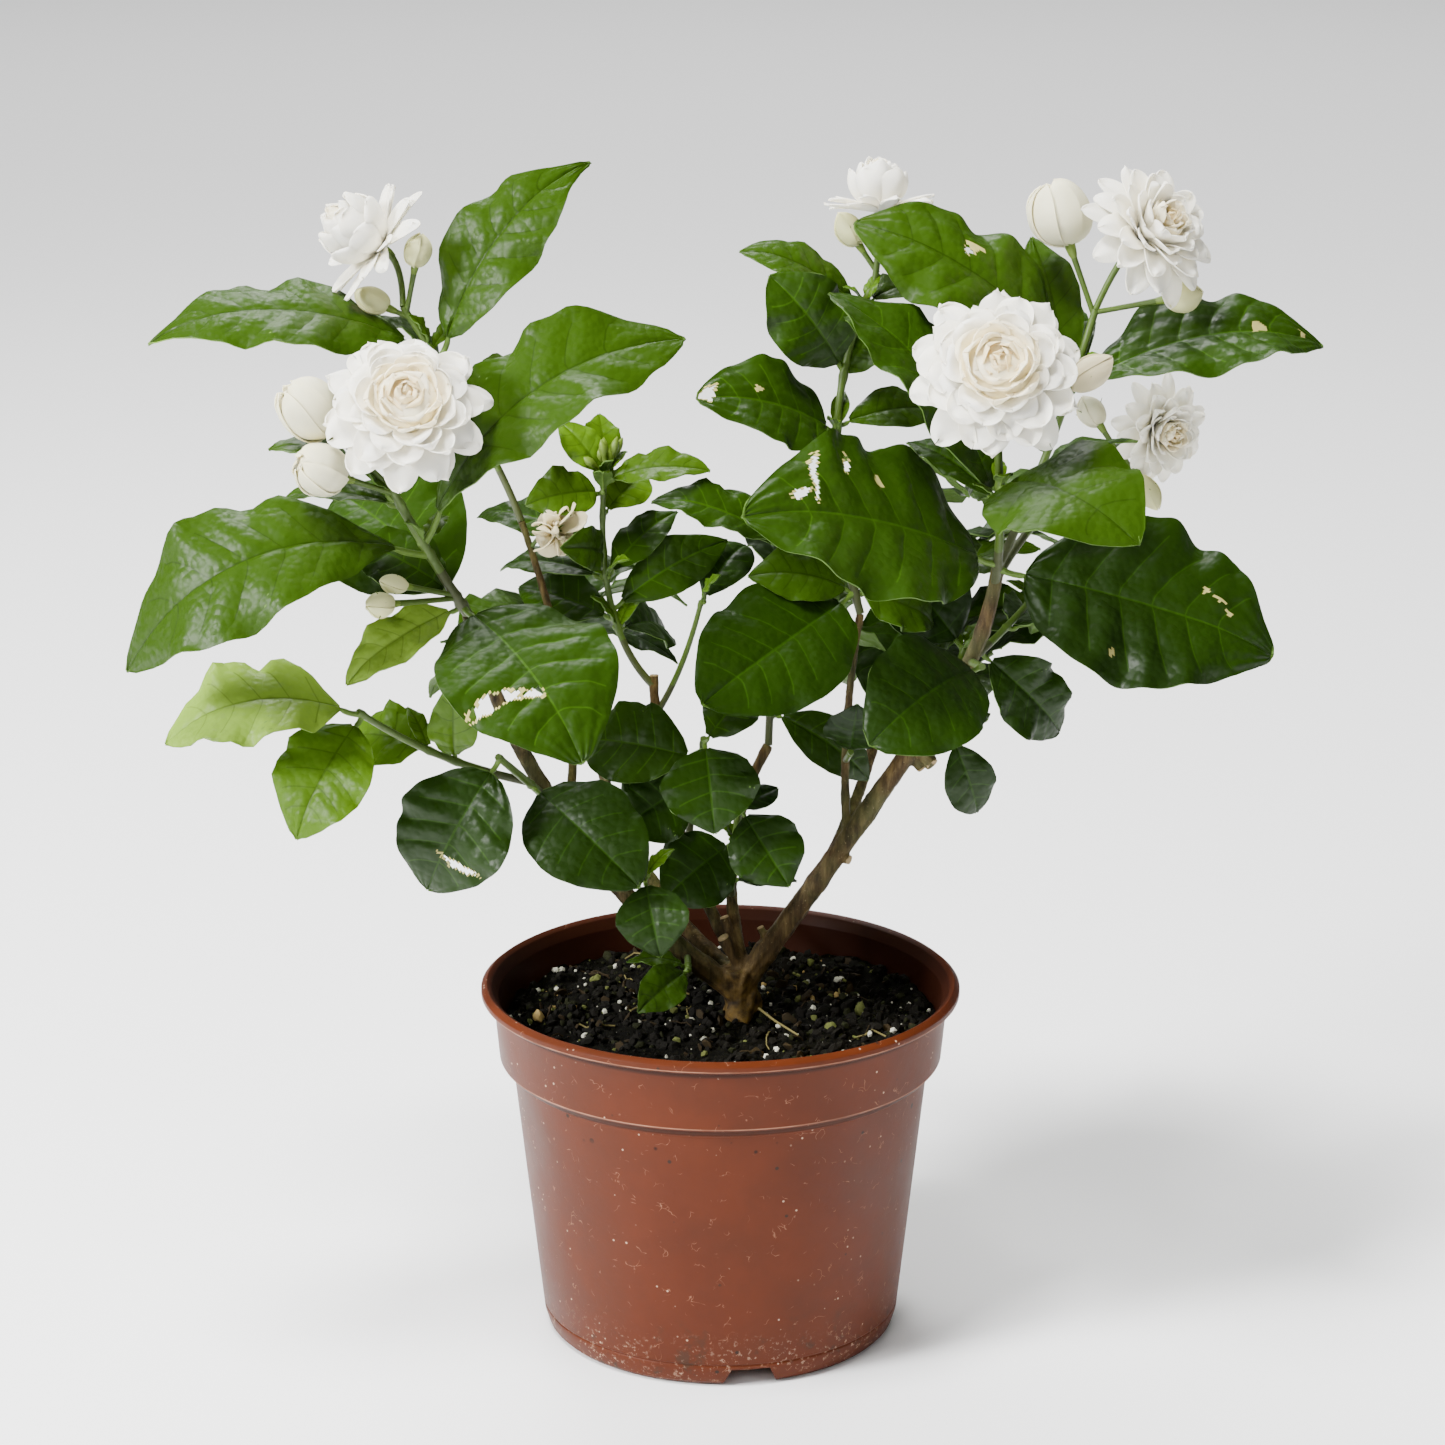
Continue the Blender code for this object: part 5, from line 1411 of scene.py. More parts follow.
BLOOM_FORMS = {
    "upper_left_shoot": DOMED_BLOOM,
    "top_centre_shoot": DOMED_BLOOM,
    "right_top_shoot": LOOSE_BLOOM,
    "right_back_shoot": LOOSE_BLOOM,
}
# The two blooms that are seen into, and how far up they turn
BLOOM_RISES = {"left_bloom_shoot": 38, "right_front_shoot": 31}
# The dense heart of such a bloom: height and radius as shares of half its diameter
HEART = ((0.05, 0.30), (0.22, 0.42), (0.34, 0.40), (0.43, 0.27), (0.48, 0.04))
PETAL_FOOT = Vector((0.03, -0.16))
PETAL_STEPS = 12
PETAL_COLUMNS = 9
SEPAL_RADII = (0.5, 0.55, 0.48, 0.36, 0.22, 0.08)
SMALL_BUD = 12


def add_petal(pile, centre, axes, radius, whorl, angle, dice):
    """A petal: a spoon-shaped sheet that rises from the calyx and bends outwards."""
    right, ahead, up = axes
    out = right * math.cos(angle) + ahead * math.sin(angle)
    tip = Vector(whorl.tip) * dice.uniform(0.93, 1.04)
    tip.y += dice.uniform(-0.05, 0.06)
    tip.x += dice.uniform(-0.02, 0.03)
    pull, foot = Vector(whorl.pull), PETAL_FOOT
    t = (1 - (1 - np.linspace(0.0, 1.0, PETAL_STEPS)) ** 1.7)[:, None]
    v = np.linspace(-1.0, 1.0, PETAL_COLUMNS)[None, :]
    radial = arc(foot.x, pull.x, tip.x, t)
    height = arc(foot.y, pull.y, tip.y, t)
    outward = 2 * ((1 - t) * (pull.x - foot.x) + t * (tip.x - pull.x))
    upward = 2 * ((1 - t) * (pull.y - foot.y) + t * (tip.y - pull.y))
    steep = np.maximum(np.sqrt(outward**2 + upward**2), 1e-3)
    outward, upward = outward / steep, upward / steep
    width = whorl.width / 2 * dice.uniform(0.9, 1.1)
    rounded = np.sqrt(np.clip(1 - t**5, 0.0, 1.0))
    pointed = np.clip((1 - t**1.6) * 1.5, 0.0, 1.0)
    half = width * (0.18 + 0.82 * t**0.8) * (rounded * (1 - whorl.point) + pointed * whorl.point)
    half = np.maximum(half, 0.004)
    lean = dice.uniform(-0.12, 0.12)
    cup = whorl.cup * (1 - 0.45 * t) * v**2 * half * 1.6 + lean * v * half
    cup = cup + 0.03 * np.sin(3.2 * v + dice.uniform(0, 6)) * t**2
    curl = 0.09 * t**5 * dice.uniform(-0.6, 1.0)
    away = radial - upward * cup + outward * curl * (v**2 - 0.5)
    rise = height + outward * cup - 0.5 * curl * (1 + v**2)
    wide = v * half
    bend = np.cos(wide / np.maximum(radial, 0.35))
    parts = (away * bend * radius, wide * radius, rise * radius)
    points = set_out(centre, (out, up.cross(out), up), parts)
    pile.sheet(points, PETAL_SHEET, whorl.shade, whorl.shade, up)


def add_calyx(pile, foot, along, size, dice, lobes=7, reach=7.0):
    """A small green cup with thin pointed lobes."""
    heights = (-4.6, -2.8, -1.0, 1.4)
    radii = (0.6, 1.25, 1.5, 1.75)
    cup = [foot + along * height * size * MM for height in heights]
    pile.sweep(cup, [radius * size * MM for radius in radii], 12, CALYX_SHADE)
    right, ahead, _ = axes_round(along)
    for number in range(lobes):
        angle = 2 * math.pi * (number + dice.uniform(-0.2, 0.2)) / lobes
        out = right * math.cos(angle) + ahead * math.sin(angle)
        length = reach * dice.uniform(0.75, 1.15)
        spread = length * dice.uniform(0.25, 0.7)
        points = [
            foot + (along * (0.8 + length * t) + out * (1.3 * size + spread * t * t)) * MM
            for t in np.linspace(0.0, 1.0, len(SEPAL_RADII))
        ]
        pile.sweep(points, [radius * MM for radius in SEPAL_RADII], 5, CALYX_SHADE)


def add_bloom(petals, greens, name, line, bloom, dice):
    """A double bloom on its stalk, its petals set in whorls round one axis; the two seen into get a
    dense heart.
    """
    up = direction(bloom.looks_heading, BLOOM_RISES.get(name, bloom.looks_rise))
    centre = bloom_centre(line, bloom)
    radius = bloom.size / 2
    turn = dice.uniform(0, 1)
    for number, whorl in enumerate(BLOOM_FORMS.get(name, FULL_BLOOM)):
        for petal in range(whorl.count):
            step = petal + turn + 0.5 * number + dice.uniform(-0.14, 0.14)
            angle = 2 * math.pi * step / whorl.count
            add_petal(petals, centre, axes_round(up), radius, whorl, angle, dice)
    if name in BLOOM_RISES:
        points = [centre + up * rise * radius * MM for rise, _ in HEART]
        petals.sweep(points, [wide * radius * MM for _, wide in HEART], 20, 1)
    foot = centre - up * bloom.size * 0.11 * MM
    add_stalk(greens, line.spot(bloom.at), foot, up)
    add_calyx(greens, foot, up, bloom.size / 44, dice)


def add_stalk(pile, start, end, along, thick=1.0):
    """A stalk that leaves its stem and bends into the line of what it bears."""
    pull = end - along * (end - start).length * 0.4
    steps = np.linspace(0.0, 1.0, 9)
    points = [arc(start, pull, end, t) for t in steps]
    pile.sweep(points, [(1.0 + 0.35 * t**4) * thick * MM for t in steps], 8, STALK_SHADE)


def add_bud(petals, greens, name, number, line, bud, dice):
    """A bud of two rings of petals round a core, each petal with one edge over the next."""
    along = direction(bud.heading, bud.rise)
    centre = bud_centre(line, bud)
    small = bud.size < SMALL_BUD
    shade = BUD_SHADES.get((name, number), BUD_SHADE + small)
    radius = bud.size / 2
    peak = 1.5 if small else 0.8
    t = np.linspace(0.0, 1.0, 15)[:, None]
    v = np.linspace(-1.0, 1.0, 9)[None, :]
    turn = dice.uniform(0, 6)
    outer = 5 if small else 7
    for petal in range(2 * outer - 2):
        inner = petal >= outer
        count = outer - 2 if inner else outer
        wound = 2 * math.pi * (petal + 0.5 * inner) / count + turn + dice.uniform(-0.08, 0.08)
        closed = 1.0 if inner else dice.uniform(0.9, 0.97)
        height = math.pi * (closed * t - 0.5)
        rounded = np.sqrt(np.clip(1 - np.clip((t - 0.6) / 0.4, 0, 1) ** 2.4, 0.0, 1.0))
        angle = wound + 0.45 * t + 1.28 * math.pi / count * v * (0.3 + 0.7 * rounded)
        layer = 0.90 + 0.10 * (v + 1) / 2 + 0.015 * np.sin(8 * t + petal) * (v + 1)
        layer = layer - 0.11 if inner else layer + 0.04 * t**4
        flat = np.cos(height) ** np.where(height > 0, peak, 0.85) * layer * radius
        tall = np.sin(height) * layer * radius * bud.plump
        parts = (np.cos(angle) * flat, np.sin(angle) * flat, tall)
        points = set_out(centre, axes_round(along), parts)
        middle = points[7, 4] - np.array(centre)
        petals.sheet(points, PETAL_SHEET, shade, shade, middle)
    reach = radius * bud.plump
    core = [centre + along * reach * share * MM for share in (-0.9, -0.5, 0.0, 0.5, 0.84)]
    petals.sweep(core, [radius * share * MM for share in (0.25, 0.68, 0.78, 0.6, 0.1)], 16, shade)
    foot = centre - along * reach * 0.95 * MM
    add_stalk(greens, line.spot(bud.at), foot, along, 0.85)
    add_calyx(greens, foot, along, 0.6 + bud.size / 40, dice, 6, 3.5 + bud.size * 0.25)


def add_stem(pile, plan, line):
    """A shoot's stem, woody at its foot and swollen at each pair of leaves."""
    nodes = {line.start + (1 - line.start) * max(leaf.at, 0.05) for leaf in plan.leaves}
    shares = np.linspace(0.0, 1.0, 40)
    radii = []
    for share in shares:
        swell = sum(math.exp(-(((share - node) / 0.018) ** 2)) for node in nodes)
        radii.append(line.radius(share) * (1.0 + 0.28 * min(swell, 1.3)) * 0.98)

    def by_height(rings, sides):
        wood = math.ceil(0.3 * rings)
        return [WOOD_SHADE] * wood * sides + [STALK_SHADE] * ((rings - wood) * sides + 2)

    pile.sweep([line.point(share) for share in shares], radii, 10, by_height)


# Leaf greens from the darkest to the palest
GREENS = (
    (0.0055, 0.0165, 0.0007),
    (0.0085, 0.0240, 0.0008),
    (0.0125, 0.0330, 0.0010),
    (0.0185, 0.0450, 0.0012),
    (0.0290, 0.0640, 0.0015),
    (0.0530, 0.1150, 0.0022),
    (0.1700, 0.2850, 0.0300),
)
# A vein's colour over its leaf's: paler on the darkest greens, darker on the rest
DARK_GREENS = 3
DARK_VEIN = 1.8
# On the paler greens a vein is darker: painted shade in its sunk groove
PAINTED_VEIN_SHADE = 0.7
# Name, colour, roughness and specular level
OTHER_LEAF_LOOKS = (
    ("leaf_scar", (0.34, 0.30, 0.10), 0.65, 0.2),
    ("leaf_under", (0.060, 0.115, 0.018), 0.62, 0.25),
    ("leaf_under_young", (0.12, 0.21, 0.03), 0.62, 0.25),
    ("leaf_rib", (0.075, 0.135, 0.018), 0.5, 0.3),
)
PETAL_LOOKS = (
    ("petal_white", (0.93, 0.89, 0.75)),
    ("petal_warm", (0.93, 0.82, 0.54)),
    ("petal_heart", (0.90, 0.72, 0.38)),
    ("bud_white", (0.80, 0.74, 0.46)),
    ("bud_young", (0.66, 0.64, 0.28)),
    ("petal_withered", (0.66, 0.55, 0.31)),
)
STEM_LOOKS = (
    ("young_wood", (0.034, 0.042, 0.009), 0.6),
    ("green_stem", (0.046, 0.084, 0.007)),
    ("calyx", (0.105, 0.165, 0.018)),
)
# Which material of its piece a face takes
VEIN_SHADES = len(GREENS)
SCAR_SHADE = 2 * len(GREENS)
UNDER_SHADE = SCAR_SHADE + 1
RIB_SHADE = SCAR_SHADE + 3
WOOD_SHADE = 0
STALK_SHADE = 1
CALYX_SHADE = 2
BUD_SHADE = 3
WITHERED_SHADE = 5

# The range of greens of each shoot's leaves, from darkest 0 to lightest 6
SHOOT_GREENS = {
    "left_bloom_shoot": (3, 3),
    "left_low_shoot": (5, 5),
    "left_front_sprig": (1, 1),
    "upper_left_shoot": (3, 4),
    "centre_left_shoot": (2, 4),
    "bare_twig": (1, 1),
    "centre_shoot": (1, 2),
    "centre_low_sprig": (1, 2),
    "hanging_sprig": (1, 1),
    "low_front_sprig": (0, 1),
    "basal_sprig": (3, 3),
    "riser_sprig": (0, 0),
    "top_centre_shoot": (2, 3),
    "right_front_shoot": (2, 2),
    "right_top_shoot": (2, 3),
    "right_back_shoot": (2, 3),
    "right_mid_sprig": (2, 2),
    "right_inner_sprig": (0, 1),
    "right_low_shoot": (1, 2),
    "knob_sprig": (1, 1),
    "back_left_shoot": (1, 3),
    "back_right_shoot": (1, 3),
}
FORMS = {
    ("left_bloom_shoot", 0): dict(
        waist=1.2, full=0.66, drawn=0.15, wave=0.15, waves=2.4, phase=0.35, tip=0.06, droop=0.26,
        twist=4, sway=0.0, wide=0.96, shade=3,
    ),
    ("left_bloom_shoot", 1): dict(
        waist=1.2, full=0.58, drawn=0.1, wave=0.18, waves=2.2, phase=0.6, tip=0.02, droop=0.1,
        twist=-8, sway=-0.03, wide=1.08, shade=3,
    ),
    ("left_bloom_shoot", 2): dict(shade=2, full=0.6),
    ("left_bloom_shoot", 3): dict(shade=2),
    ("left_bloom_shoot", 4): dict(
        waist=0.95, full=0.55, drawn=0.15, wave=0.08, waves=1.7, phase=0.3, tip=0.06, droop=0.22,
        twist=4, sway=0.05, shade=2,
        marks=(Mark("hole", 0.60, 0.62, 0.035, 0.34), Mark("hole", 0.64, 0.12, 0.022, 0.12)),
    ),
    ("left_bloom_shoot", 5): dict(shade=6, full=0.65, wave=0.18, under=1),
    ("left_low_shoot", 0): dict(
        full=0.6, waist=0.95, wave=0.2, waves=2.4, phase=0.4, drawn=0.15, shade=6, under=1,
    ),
    ("left_low_shoot", 1): dict(full=0.6, waist=0.9, wave=0.1, drawn=0.15, shade=5, under=1),
    ("left_front_sprig", 0): dict(
        full=0.55, waist=0.95, drawn=0.15, shade=1, wave=0.08,
        marks=(Mark("hole", 0.7, -0.4, 0.024, 0.34),),
    ),
    ("left_front_sprig", 1): dict(full=0.55, waist=0.95, drawn=0.1, shade=1, wave=0.08),
    ("upper_left_shoot", 0): dict(
        waist=0.95, full=0.68, drawn=0.2, wave=0.12, waves=2.2, phase=0.2, droop=0.3, under=1,
        shade=3, tip=0.06,
    ),
    ("upper_left_shoot", 1): dict(
        waist=0.86, full=0.70, drawn=0.45, wave=0.16, waves=1.9, phase=0.5, bend=-0.02, sway=0.03,
        shade=3, wide=0.84,
    ),
    ("centre_left_shoot", 0): dict(shade=5),
    ("centre_left_shoot", 1): dict(shade=5),
    ("centre_left_shoot", 2): dict(shade=4, full=0.6),
    ("centre_left_shoot", 3): dict(shade=4),
    ("centre_left_shoot", 4): dict(shade=5),
    ("right_front_shoot", 0): dict(
        full=0.58, waist=0.9, drawn=0.12, wave=0.12, waves=2.5, droop=0.15, shade=2,
        marks=(
            Mark("hole", 0.74, 0.50, 0.012, 0.30), Mark("hole", 0.80, 0.30, 0.03, 0.07),
            Mark("hole", 0.60, 0.62, 0.012, 0.10), Mark("scar", 0.45, 0.5, 0.02, 0.06),
        ),
    ),
    ("right_front_shoot", 1): dict(
        full=0.6, waist=0.9, drawn=0.2, wave=0.12, waves=2.4, phase=0.25, droop=0.2, shade=1,
        twist=-6,
        marks=(
            Mark("scar", 0.74, -0.35, 0.03, 0.03), Mark("scar", 0.79, -0.28, 0.012, 0.03),
            Mark("scar", 0.68, -0.4, 0.01, 0.04), Mark("scar", 0.42, 0.7, 0.012, 0.05),
        ),
    ),
    ("right_front_shoot", 2): dict(full=0.6, waist=0.95, wave=0.14, shade=2, drawn=0.2),
    ("right_front_shoot", 3): dict(
        full=0.6, waist=0.95, drawn=0.15, wave=0.12, waves=1.8, phase=0.7, tip=0.05, shade=3,
    ),
    ("right_top_shoot", 0): dict(
        full=0.6, waist=1.0, drawn=0.25, wave=0.12, waves=2.0, phase=0.55, droop=0.12, tip=0.04,
        wide=1.12, shade=2,
        marks=(Mark("scar", 0.72, -0.1, 0.03, 0.10), Mark("scar", 0.92, -0.2, 0.012, 0.2)),
    ),
    ("right_top_shoot", 1): dict(
        aim=(180, 33), full=0.55, waist=0.95, drawn=0.1, wave=0.16, waves=2.0, droop=0.3, shade=3,
        marks=(Mark("hole", 0.55, 0.3, 0.02, 0.07), Mark("scar", 0.53, 0.42, 0.04, 0.06)),
    ),
    ("top_centre_shoot", 0): dict(full=0.5, waist=0.9, drawn=0.1, wave=0.08, shade=1),
    ("top_centre_shoot", 4): dict(
        full=0.55, drawn=0.1, shade=2, wave=0.1,
        marks=(Mark("hole", 0.96, 0.25, 0.06, 0.4), Mark("scar", 0.6, 0.25, 0.03, 0.07)),
    ),
    ("top_centre_shoot", 6): dict(full=0.55, drawn=0.1, shade=2),
    ("right_mid_sprig", 0): dict(full=0.5, waist=0.9, drawn=0.1, wave=0.08, shade=1),
}
BUD_SHADES = {
    ("right_front_shoot", 0): 5,
    ("right_back_shoot", 0): 3,
    ("left_bloom_shoot", 2): 4,
    ("left_bloom_shoot", 3): 4,
}
YOUNG_SHARE = 0.35  # of the leaf axils bear young leaves
YOUNG_GREENS = (4, 5)
# The pieces that the leaves are joined into, by the side of the crown they grow on
LEAF_PIECES = {
    "leaves_left": ("left_", "upper_left", "basal"),
    "leaves_centre": ("centre_", "bare_", "hanging", "low_front"),
    "leaves_top": ("top_centre", "right_top", "right_back"),
    "leaves_right": ("right_", "riser_", "knob_"),
    "leaves_back": ("back_",),
}


def leaf_looks():
    """The materials of a leaf piece: the greens, their veins, scars, undersides and ribs."""
    looks = [leaf_material(f"leaf_{number}", green) for number, green in enumerate(GREENS)]
    for number, green in enumerate(GREENS):
        # A darker vein on the paler greens is painted shade in its sunk groove
        contrast = DARK_VEIN if number < DARK_GREENS else PAINTED_VEIN_SHADE
        vein = tuple(value * contrast for value in green)
        looks.append(leaf_material(f"vein_{number}", vein, 0.45))
    return looks + [leaf_material(*row) for row in OTHER_LEAF_LOOKS]


def group_of(shoot):
    for piece, starts in LEAF_PIECES.items():
        if shoot.startswith(starts):
            return piece
    raise ValueError(shoot)


def young_leaves(plan, dice):
    """The finest growth: two small leaves at a stem's bare tip and in some leaf axils."""
    made = []
    spots = [leaf.at for leaf in plan.leaves if dice.random() < YOUNG_SHARE]
    if plan.pairs and not plan.blooms:
        spots.append(1.0)
    for at in spots:
        heading = dice.uniform(0, 360)
        for aim in (heading, heading + 180):
            length = dice.uniform(9, 15)
            made.append(Leaf(at, length, length * 0.45, aim, dice.uniform(25, 60), 20))
    return made


def add_withered_bloom(petals, greens, lines):
    """A spent bloom whose petals hang limp, on a short stalk off the left riser."""
    dice = random.Random(31)
    up = direction(-50, 12)
    centre = mm(-51, 20, 252.5)
    for number in range(15):
        whorl = Whorl(
            1, (dice.uniform(0.1, 1.0), dice.uniform(-1.0, 0.7)), (0.7, dice.uniform(0.0, 0.7)),
            dice.uniform(0.6, 0.9), dice.uniform(0.8, 1.3), 0.15, WITHERED_SHADE,
        )
        add_petal(petals, centre, axes_round(up), 9.5, whorl, 2.4 * number, dice)
    foot = centre - up * 2.5 * MM
    add_stalk(greens, lines["left_riser"].spot(0.93), foot, up, 0.7)
    add_calyx(greens, foot, up, 0.5, dice, 6, 5.0)


def add_bud_tuft(greens, lines):
    """A tuft of narrow green flower buds at the tip of the middle left shoot."""
    dice = random.Random(5)
    tip = lines["centre_left_shoot"].point(1.0)
    rings = ((0.0, 0.45), (0.3, 0.55), (0.5, 1.1), (0.7, 1.45), (0.85, 1.1), (1.0, 0.15))
    for number in range(8):
        along = direction(dice.uniform(0, 360), dice.uniform(40, 85))
        length = dice.uniform(7, 12)
        base = tip + direction(45 * number, 0) * 1.2 * MM
        points = [base + along * length * share * MM for share, _ in rings]
        greens.sweep(points, [radius * MM for _, radius in rings], 8, CALYX_SHADE)


def add_plant(lines):
    """Every shoot's stem, leaves, blooms and buds, gathered into a few pieces."""
    blades, twigs, taken = plan_plant(lines)
    greens = leaf_looks()
    piles = {name: Pile(name, greens) for name in LEAF_PIECES}
    whites = [petal_material(*row) for row in PETAL_LOOKS]
    blossom = {side: Pile(f"blossom_{side}", whites) for side in ("left", "right")}
    stems = Pile("green_stems", [stem_material(*row) for row in STEM_LOOKS])
    steps = np.linspace(0.0, 1.0, 12)
    for seed, (name, plan) in enumerate(SHOOTS.items()):
        dice = random.Random(100 + seed)
        line = lines[name]
        pile = piles[group_of(name)]
        add_stem(stems, plan, line)
        for twig in twigs[name]:
            points = [twig.point(share) for share in steps]
            stems.sweep(points, [twig.radius(share) for share in steps], 8, STALK_SHADE)
        for number, blade in enumerate(blades[name]):
            add_leaf(pile, blade, leaf_form((name, number), SHOOT_GREENS[name], dice))
        for leaf in young_leaves(plan, dice):
            blade = place_leaf(name, line, leaf, taken)
            if blade:
                add_leaf(pile, blade, leaf_form((name, "young"), YOUNG_GREENS, dice))
        petals = blossom["left" if "left" in name else "right"]
        for bloom in plan.blooms:
            add_bloom(petals, stems, name, line, bloom, dice)
        for number, bud in enumerate(plan.buds):
            add_bud(petals, stems, name, number, line, bud, dice)
    add_withered_bloom(blossom["left"], stems, lines)
    add_bud_tuft(stems, lines)
    for name, pile in piles.items():
        piece = pile.piece()
        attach(piece, "root")
        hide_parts(*[shoot for shoot in SHOOTS if group_of(shoot) == name])
    for pile in (*blossom.values(), stems):
        piece = pile.piece(70)
        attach(piece, "root")


# Short cut stubs and knobs on the wood: limb, share along it, heading, rise, length, radius
Stub = namedtuple("Stub", "limb at heading rise length thick")
STUBS = (
    Stub("trunk", 0.92, 190, 62, 13, 1.9),
    Stub("trunk", 1.0, 150, 66, 17, 1.5),
    Stub("right_bough", 0.985, -40, -35, 9, 2.2),
    Stub("right_bough", 0.95, 10, -50, 7, 1.8),
    Stub("right_bough", 0.52, -30, -10, 5, 1.6),
    Stub("right_bough", 0.16, 150, 60, 7, 1.2),
    Stub("centre_left_bough", 0.93, 95, 75, 10, 1.5),
)
# Along a stub: share of its length and of its radius
STUB_RINGS = ((0.0, 1.3), (0.4, 1.0), (0.8, 1.05), (0.97, 1.0), (1.0, 0.7))
JOINT_SPACING = 27.0  # between the old leaf joints of a bough
LIMB_STEP = 2.0
TRUNK_SIDES = 24
TRUNK_SWELL = 0.25  # how much thicker a bough is where it leaves the trunk
FORK_SWELL = 0.15
LINE_STEPS = 100  # places along each limb from which the bark's ridges are laid out
SIDEWAYS = Vector((0.3, 1.0, 0.1))  # from which the angle round a limb is counted
RIDGE_DEPTH = 0.55
GRAIN_DEPTH = 0.28


def add_cut_ends(lines):
    """The pale wood where old shoots were cut off."""
    pile = Pile("cut_ends", [mineral_material("cut_wood", (0.27, 0.20, 0.10))])
    for stub in STUBS:
        along = direction(stub.heading, stub.rise)
        tip = lines[stub.limb].point(stub.at) + along * stub.length * MM
        points = [tip + along * step * MM for step in (-0.7, -0.1, 0.0)]
        pile.sweep(points, [stub.thick * share * MM for share in (0.95, 0.9, 0.5)], 14, 0)
    piece = pile.piece(40)
    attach(piece, "root")


def limb_rings(line, swell):
    """Points and radii along a bough, swollen at its foot and a little at its old joints."""
    count = max(3, round((line.tip - line.foot).length / (LIMB_STEP * MM)))
    points, radii = [], []
    for number in range(count + 1):
        joint = abs((number * LIMB_STEP / JOINT_SPACING) % 1.0 - 0.5) * JOINT_SPACING
        points.append(line.point(number / count))
        radius = line.radius(number / count) * (1 + 0.13 * math.exp(-((joint / 1.8) ** 2)))
        radii.append(radius * (1 + swell * math.exp(-12.0 * number / (count + 1))))
    return points, radii


def trunk_rings():
    """Points and rings of radii of the leaning, gnarled trunk with its flared foot."""
    foot = mm(*TRUNK_FOOT, SOIL_HEIGHT)
    points, radii = [], []
    for number in range(13):
        share = number / 12
        height = -3.0 + 18.0 * share
        points.append(foot + mm(0.9 * math.sin(5 * share), 0.6 * math.sin(4 * share), height))
        ring = []
        for side in range(TRUNK_SIDES):
            angle = 2 * math.pi * side / TRUNK_SIDES
            root = max(0.0, math.cos(3 * angle + 0.7)) * math.exp(-max(height, 0.0) / 3.5)
            gnarl = 0.10 * math.sin(2 * angle + 6 * share) + 0.06 * math.sin(5 * angle - 9 * share)
            flare = 0.9 * math.exp(-max(height, 0.0) / 2.0) + 1.6 * root
            ring.append((4.6 + flare) * (1 + 1.6 * gnarl) * MM)
        radii.append(ring)
    return points, radii


def rough_limbs(lines):
    """The plain forms of trunk, boughs and stubs in one mesh, before they are made one skin."""
    pile = Pile("bark", [])
    pile.sweep(*trunk_rings(), TRUNK_SIDES, 0)
    for name, plan in BOUGHS.items():
        swell = TRUNK_SWELL if plan.parent == "trunk" else FORK_SWELL
        pile.sweep(*limb_rings(lines[name], swell), 12, 0)
    for stub in STUBS:
        start = lines[stub.limb].point(stub.at)
        along = direction(stub.heading, stub.rise)
        points = [start + along * stub.length * share * MM for share, _ in STUB_RINGS]
        pile.sweep(points, [stub.thick * share * MM for _, share in STUB_RINGS], 10, 0)
    return pile.piece()


def line_spots(lines):
    """A tree of places along the wood's middle lines, and the axes that belong to each."""
    spots, axes = [], []
    for name in ("trunk", *BOUGHS):
        line = lines[name]
        for step in range(LINE_STEPS + 1):
            spots.append(line.point(step / LINE_STEPS))
            along = line.along(step / LINE_STEPS)
            aside = (SIDEWAYS - along * along.dot(SIDEWAYS)).normalized()
            gone = step / LINE_STEPS * (line.tip - line.foot).length / MM
            axes.append((along, aside, along.cross(aside), gone))
    tree = KDTree(len(spots))
    for number, spot in enumerate(spots):
        tree.insert(spot, number)
    tree.balance()
    return tree, axes


def ridged(vert, tree, axes):
    """Where a point of the bark comes to lie, by ridges along its limb and a finer grain."""
    spot, number, away = tree.find(vert.co)
    along, aside, upward, gone = axes[number]
    offset = vert.co - spot
    angle = math.atan2(offset.dot(upward), offset.dot(aside))
    length = gone + offset.dot(along) / MM
    ridge = noise.noise(Vector((2.2 * math.cos(angle), 2.2 * math.sin(angle), length / 16)))
    grain = noise.noise(vert.co / (0.9 * MM)) * 0.5 + noise.noise(vert.co / (2.6 * MM))
    depth = 0.25 + 0.75 * min(away / (6 * MM), 1.0)
    return vert.co + vert.normal * (ridge * RIDGE_DEPTH + grain * GRAIN_DEPTH) * depth * MM


def add_bark(lines):
    """One skin over trunk and boughs, ridged along each limb and pitted all over."""
    skin_piece = rough_limbs(lines)
    remesh = skin_piece.modifiers.new("Join", "REMESH")
    remesh.mode = "VOXEL"
    remesh.voxel_size = BARK_VOXEL * MM
    smooth = skin_piece.modifiers.new("Soften", "SMOOTH")
    smooth.factor = 0.5
    smooth.iterations = 4
    apply_modifiers(skin_piece)
    tree, axes = line_spots(lines)
    mesh = skin_piece.data
    moved = [ridged(vert, tree, axes) for vert in mesh.vertices]
    for vert, spot in zip(mesh.vertices, moved):
        vert.co = spot
    mesh.materials.clear()
    mesh.materials.append(bark_material())
    mesh.shade_smooth()
    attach(skin_piece, "root")
    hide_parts("trunk", *BOUGHS)


def seamed(outline):
    """The pot's outline with a fine moulding seam just over its foot."""
    made = []
    for (radius, height), (far, end) in zip(outline, outline[1:] + outline[:1]):
        made.append((radius, height))
        crosses = (height - SEAM_HEIGHT) * (end - SEAM_HEIGHT) < 0
        if crosses and min(radius, far) > FOOT_RADIUS:
            steps = ((0.5, 0.0), (0.15, -SEAM_DEPTH), (-0.15, -SEAM_DEPTH), (-0.5, 0.0))
            for rise, sink in steps if height > end else steps[::-1]:
                share = (SEAM_HEIGHT + rise - height) / (end - height)
                made.append((radius + (far - radius) * share + sink, SEAM_HEIGHT + rise))
    return made


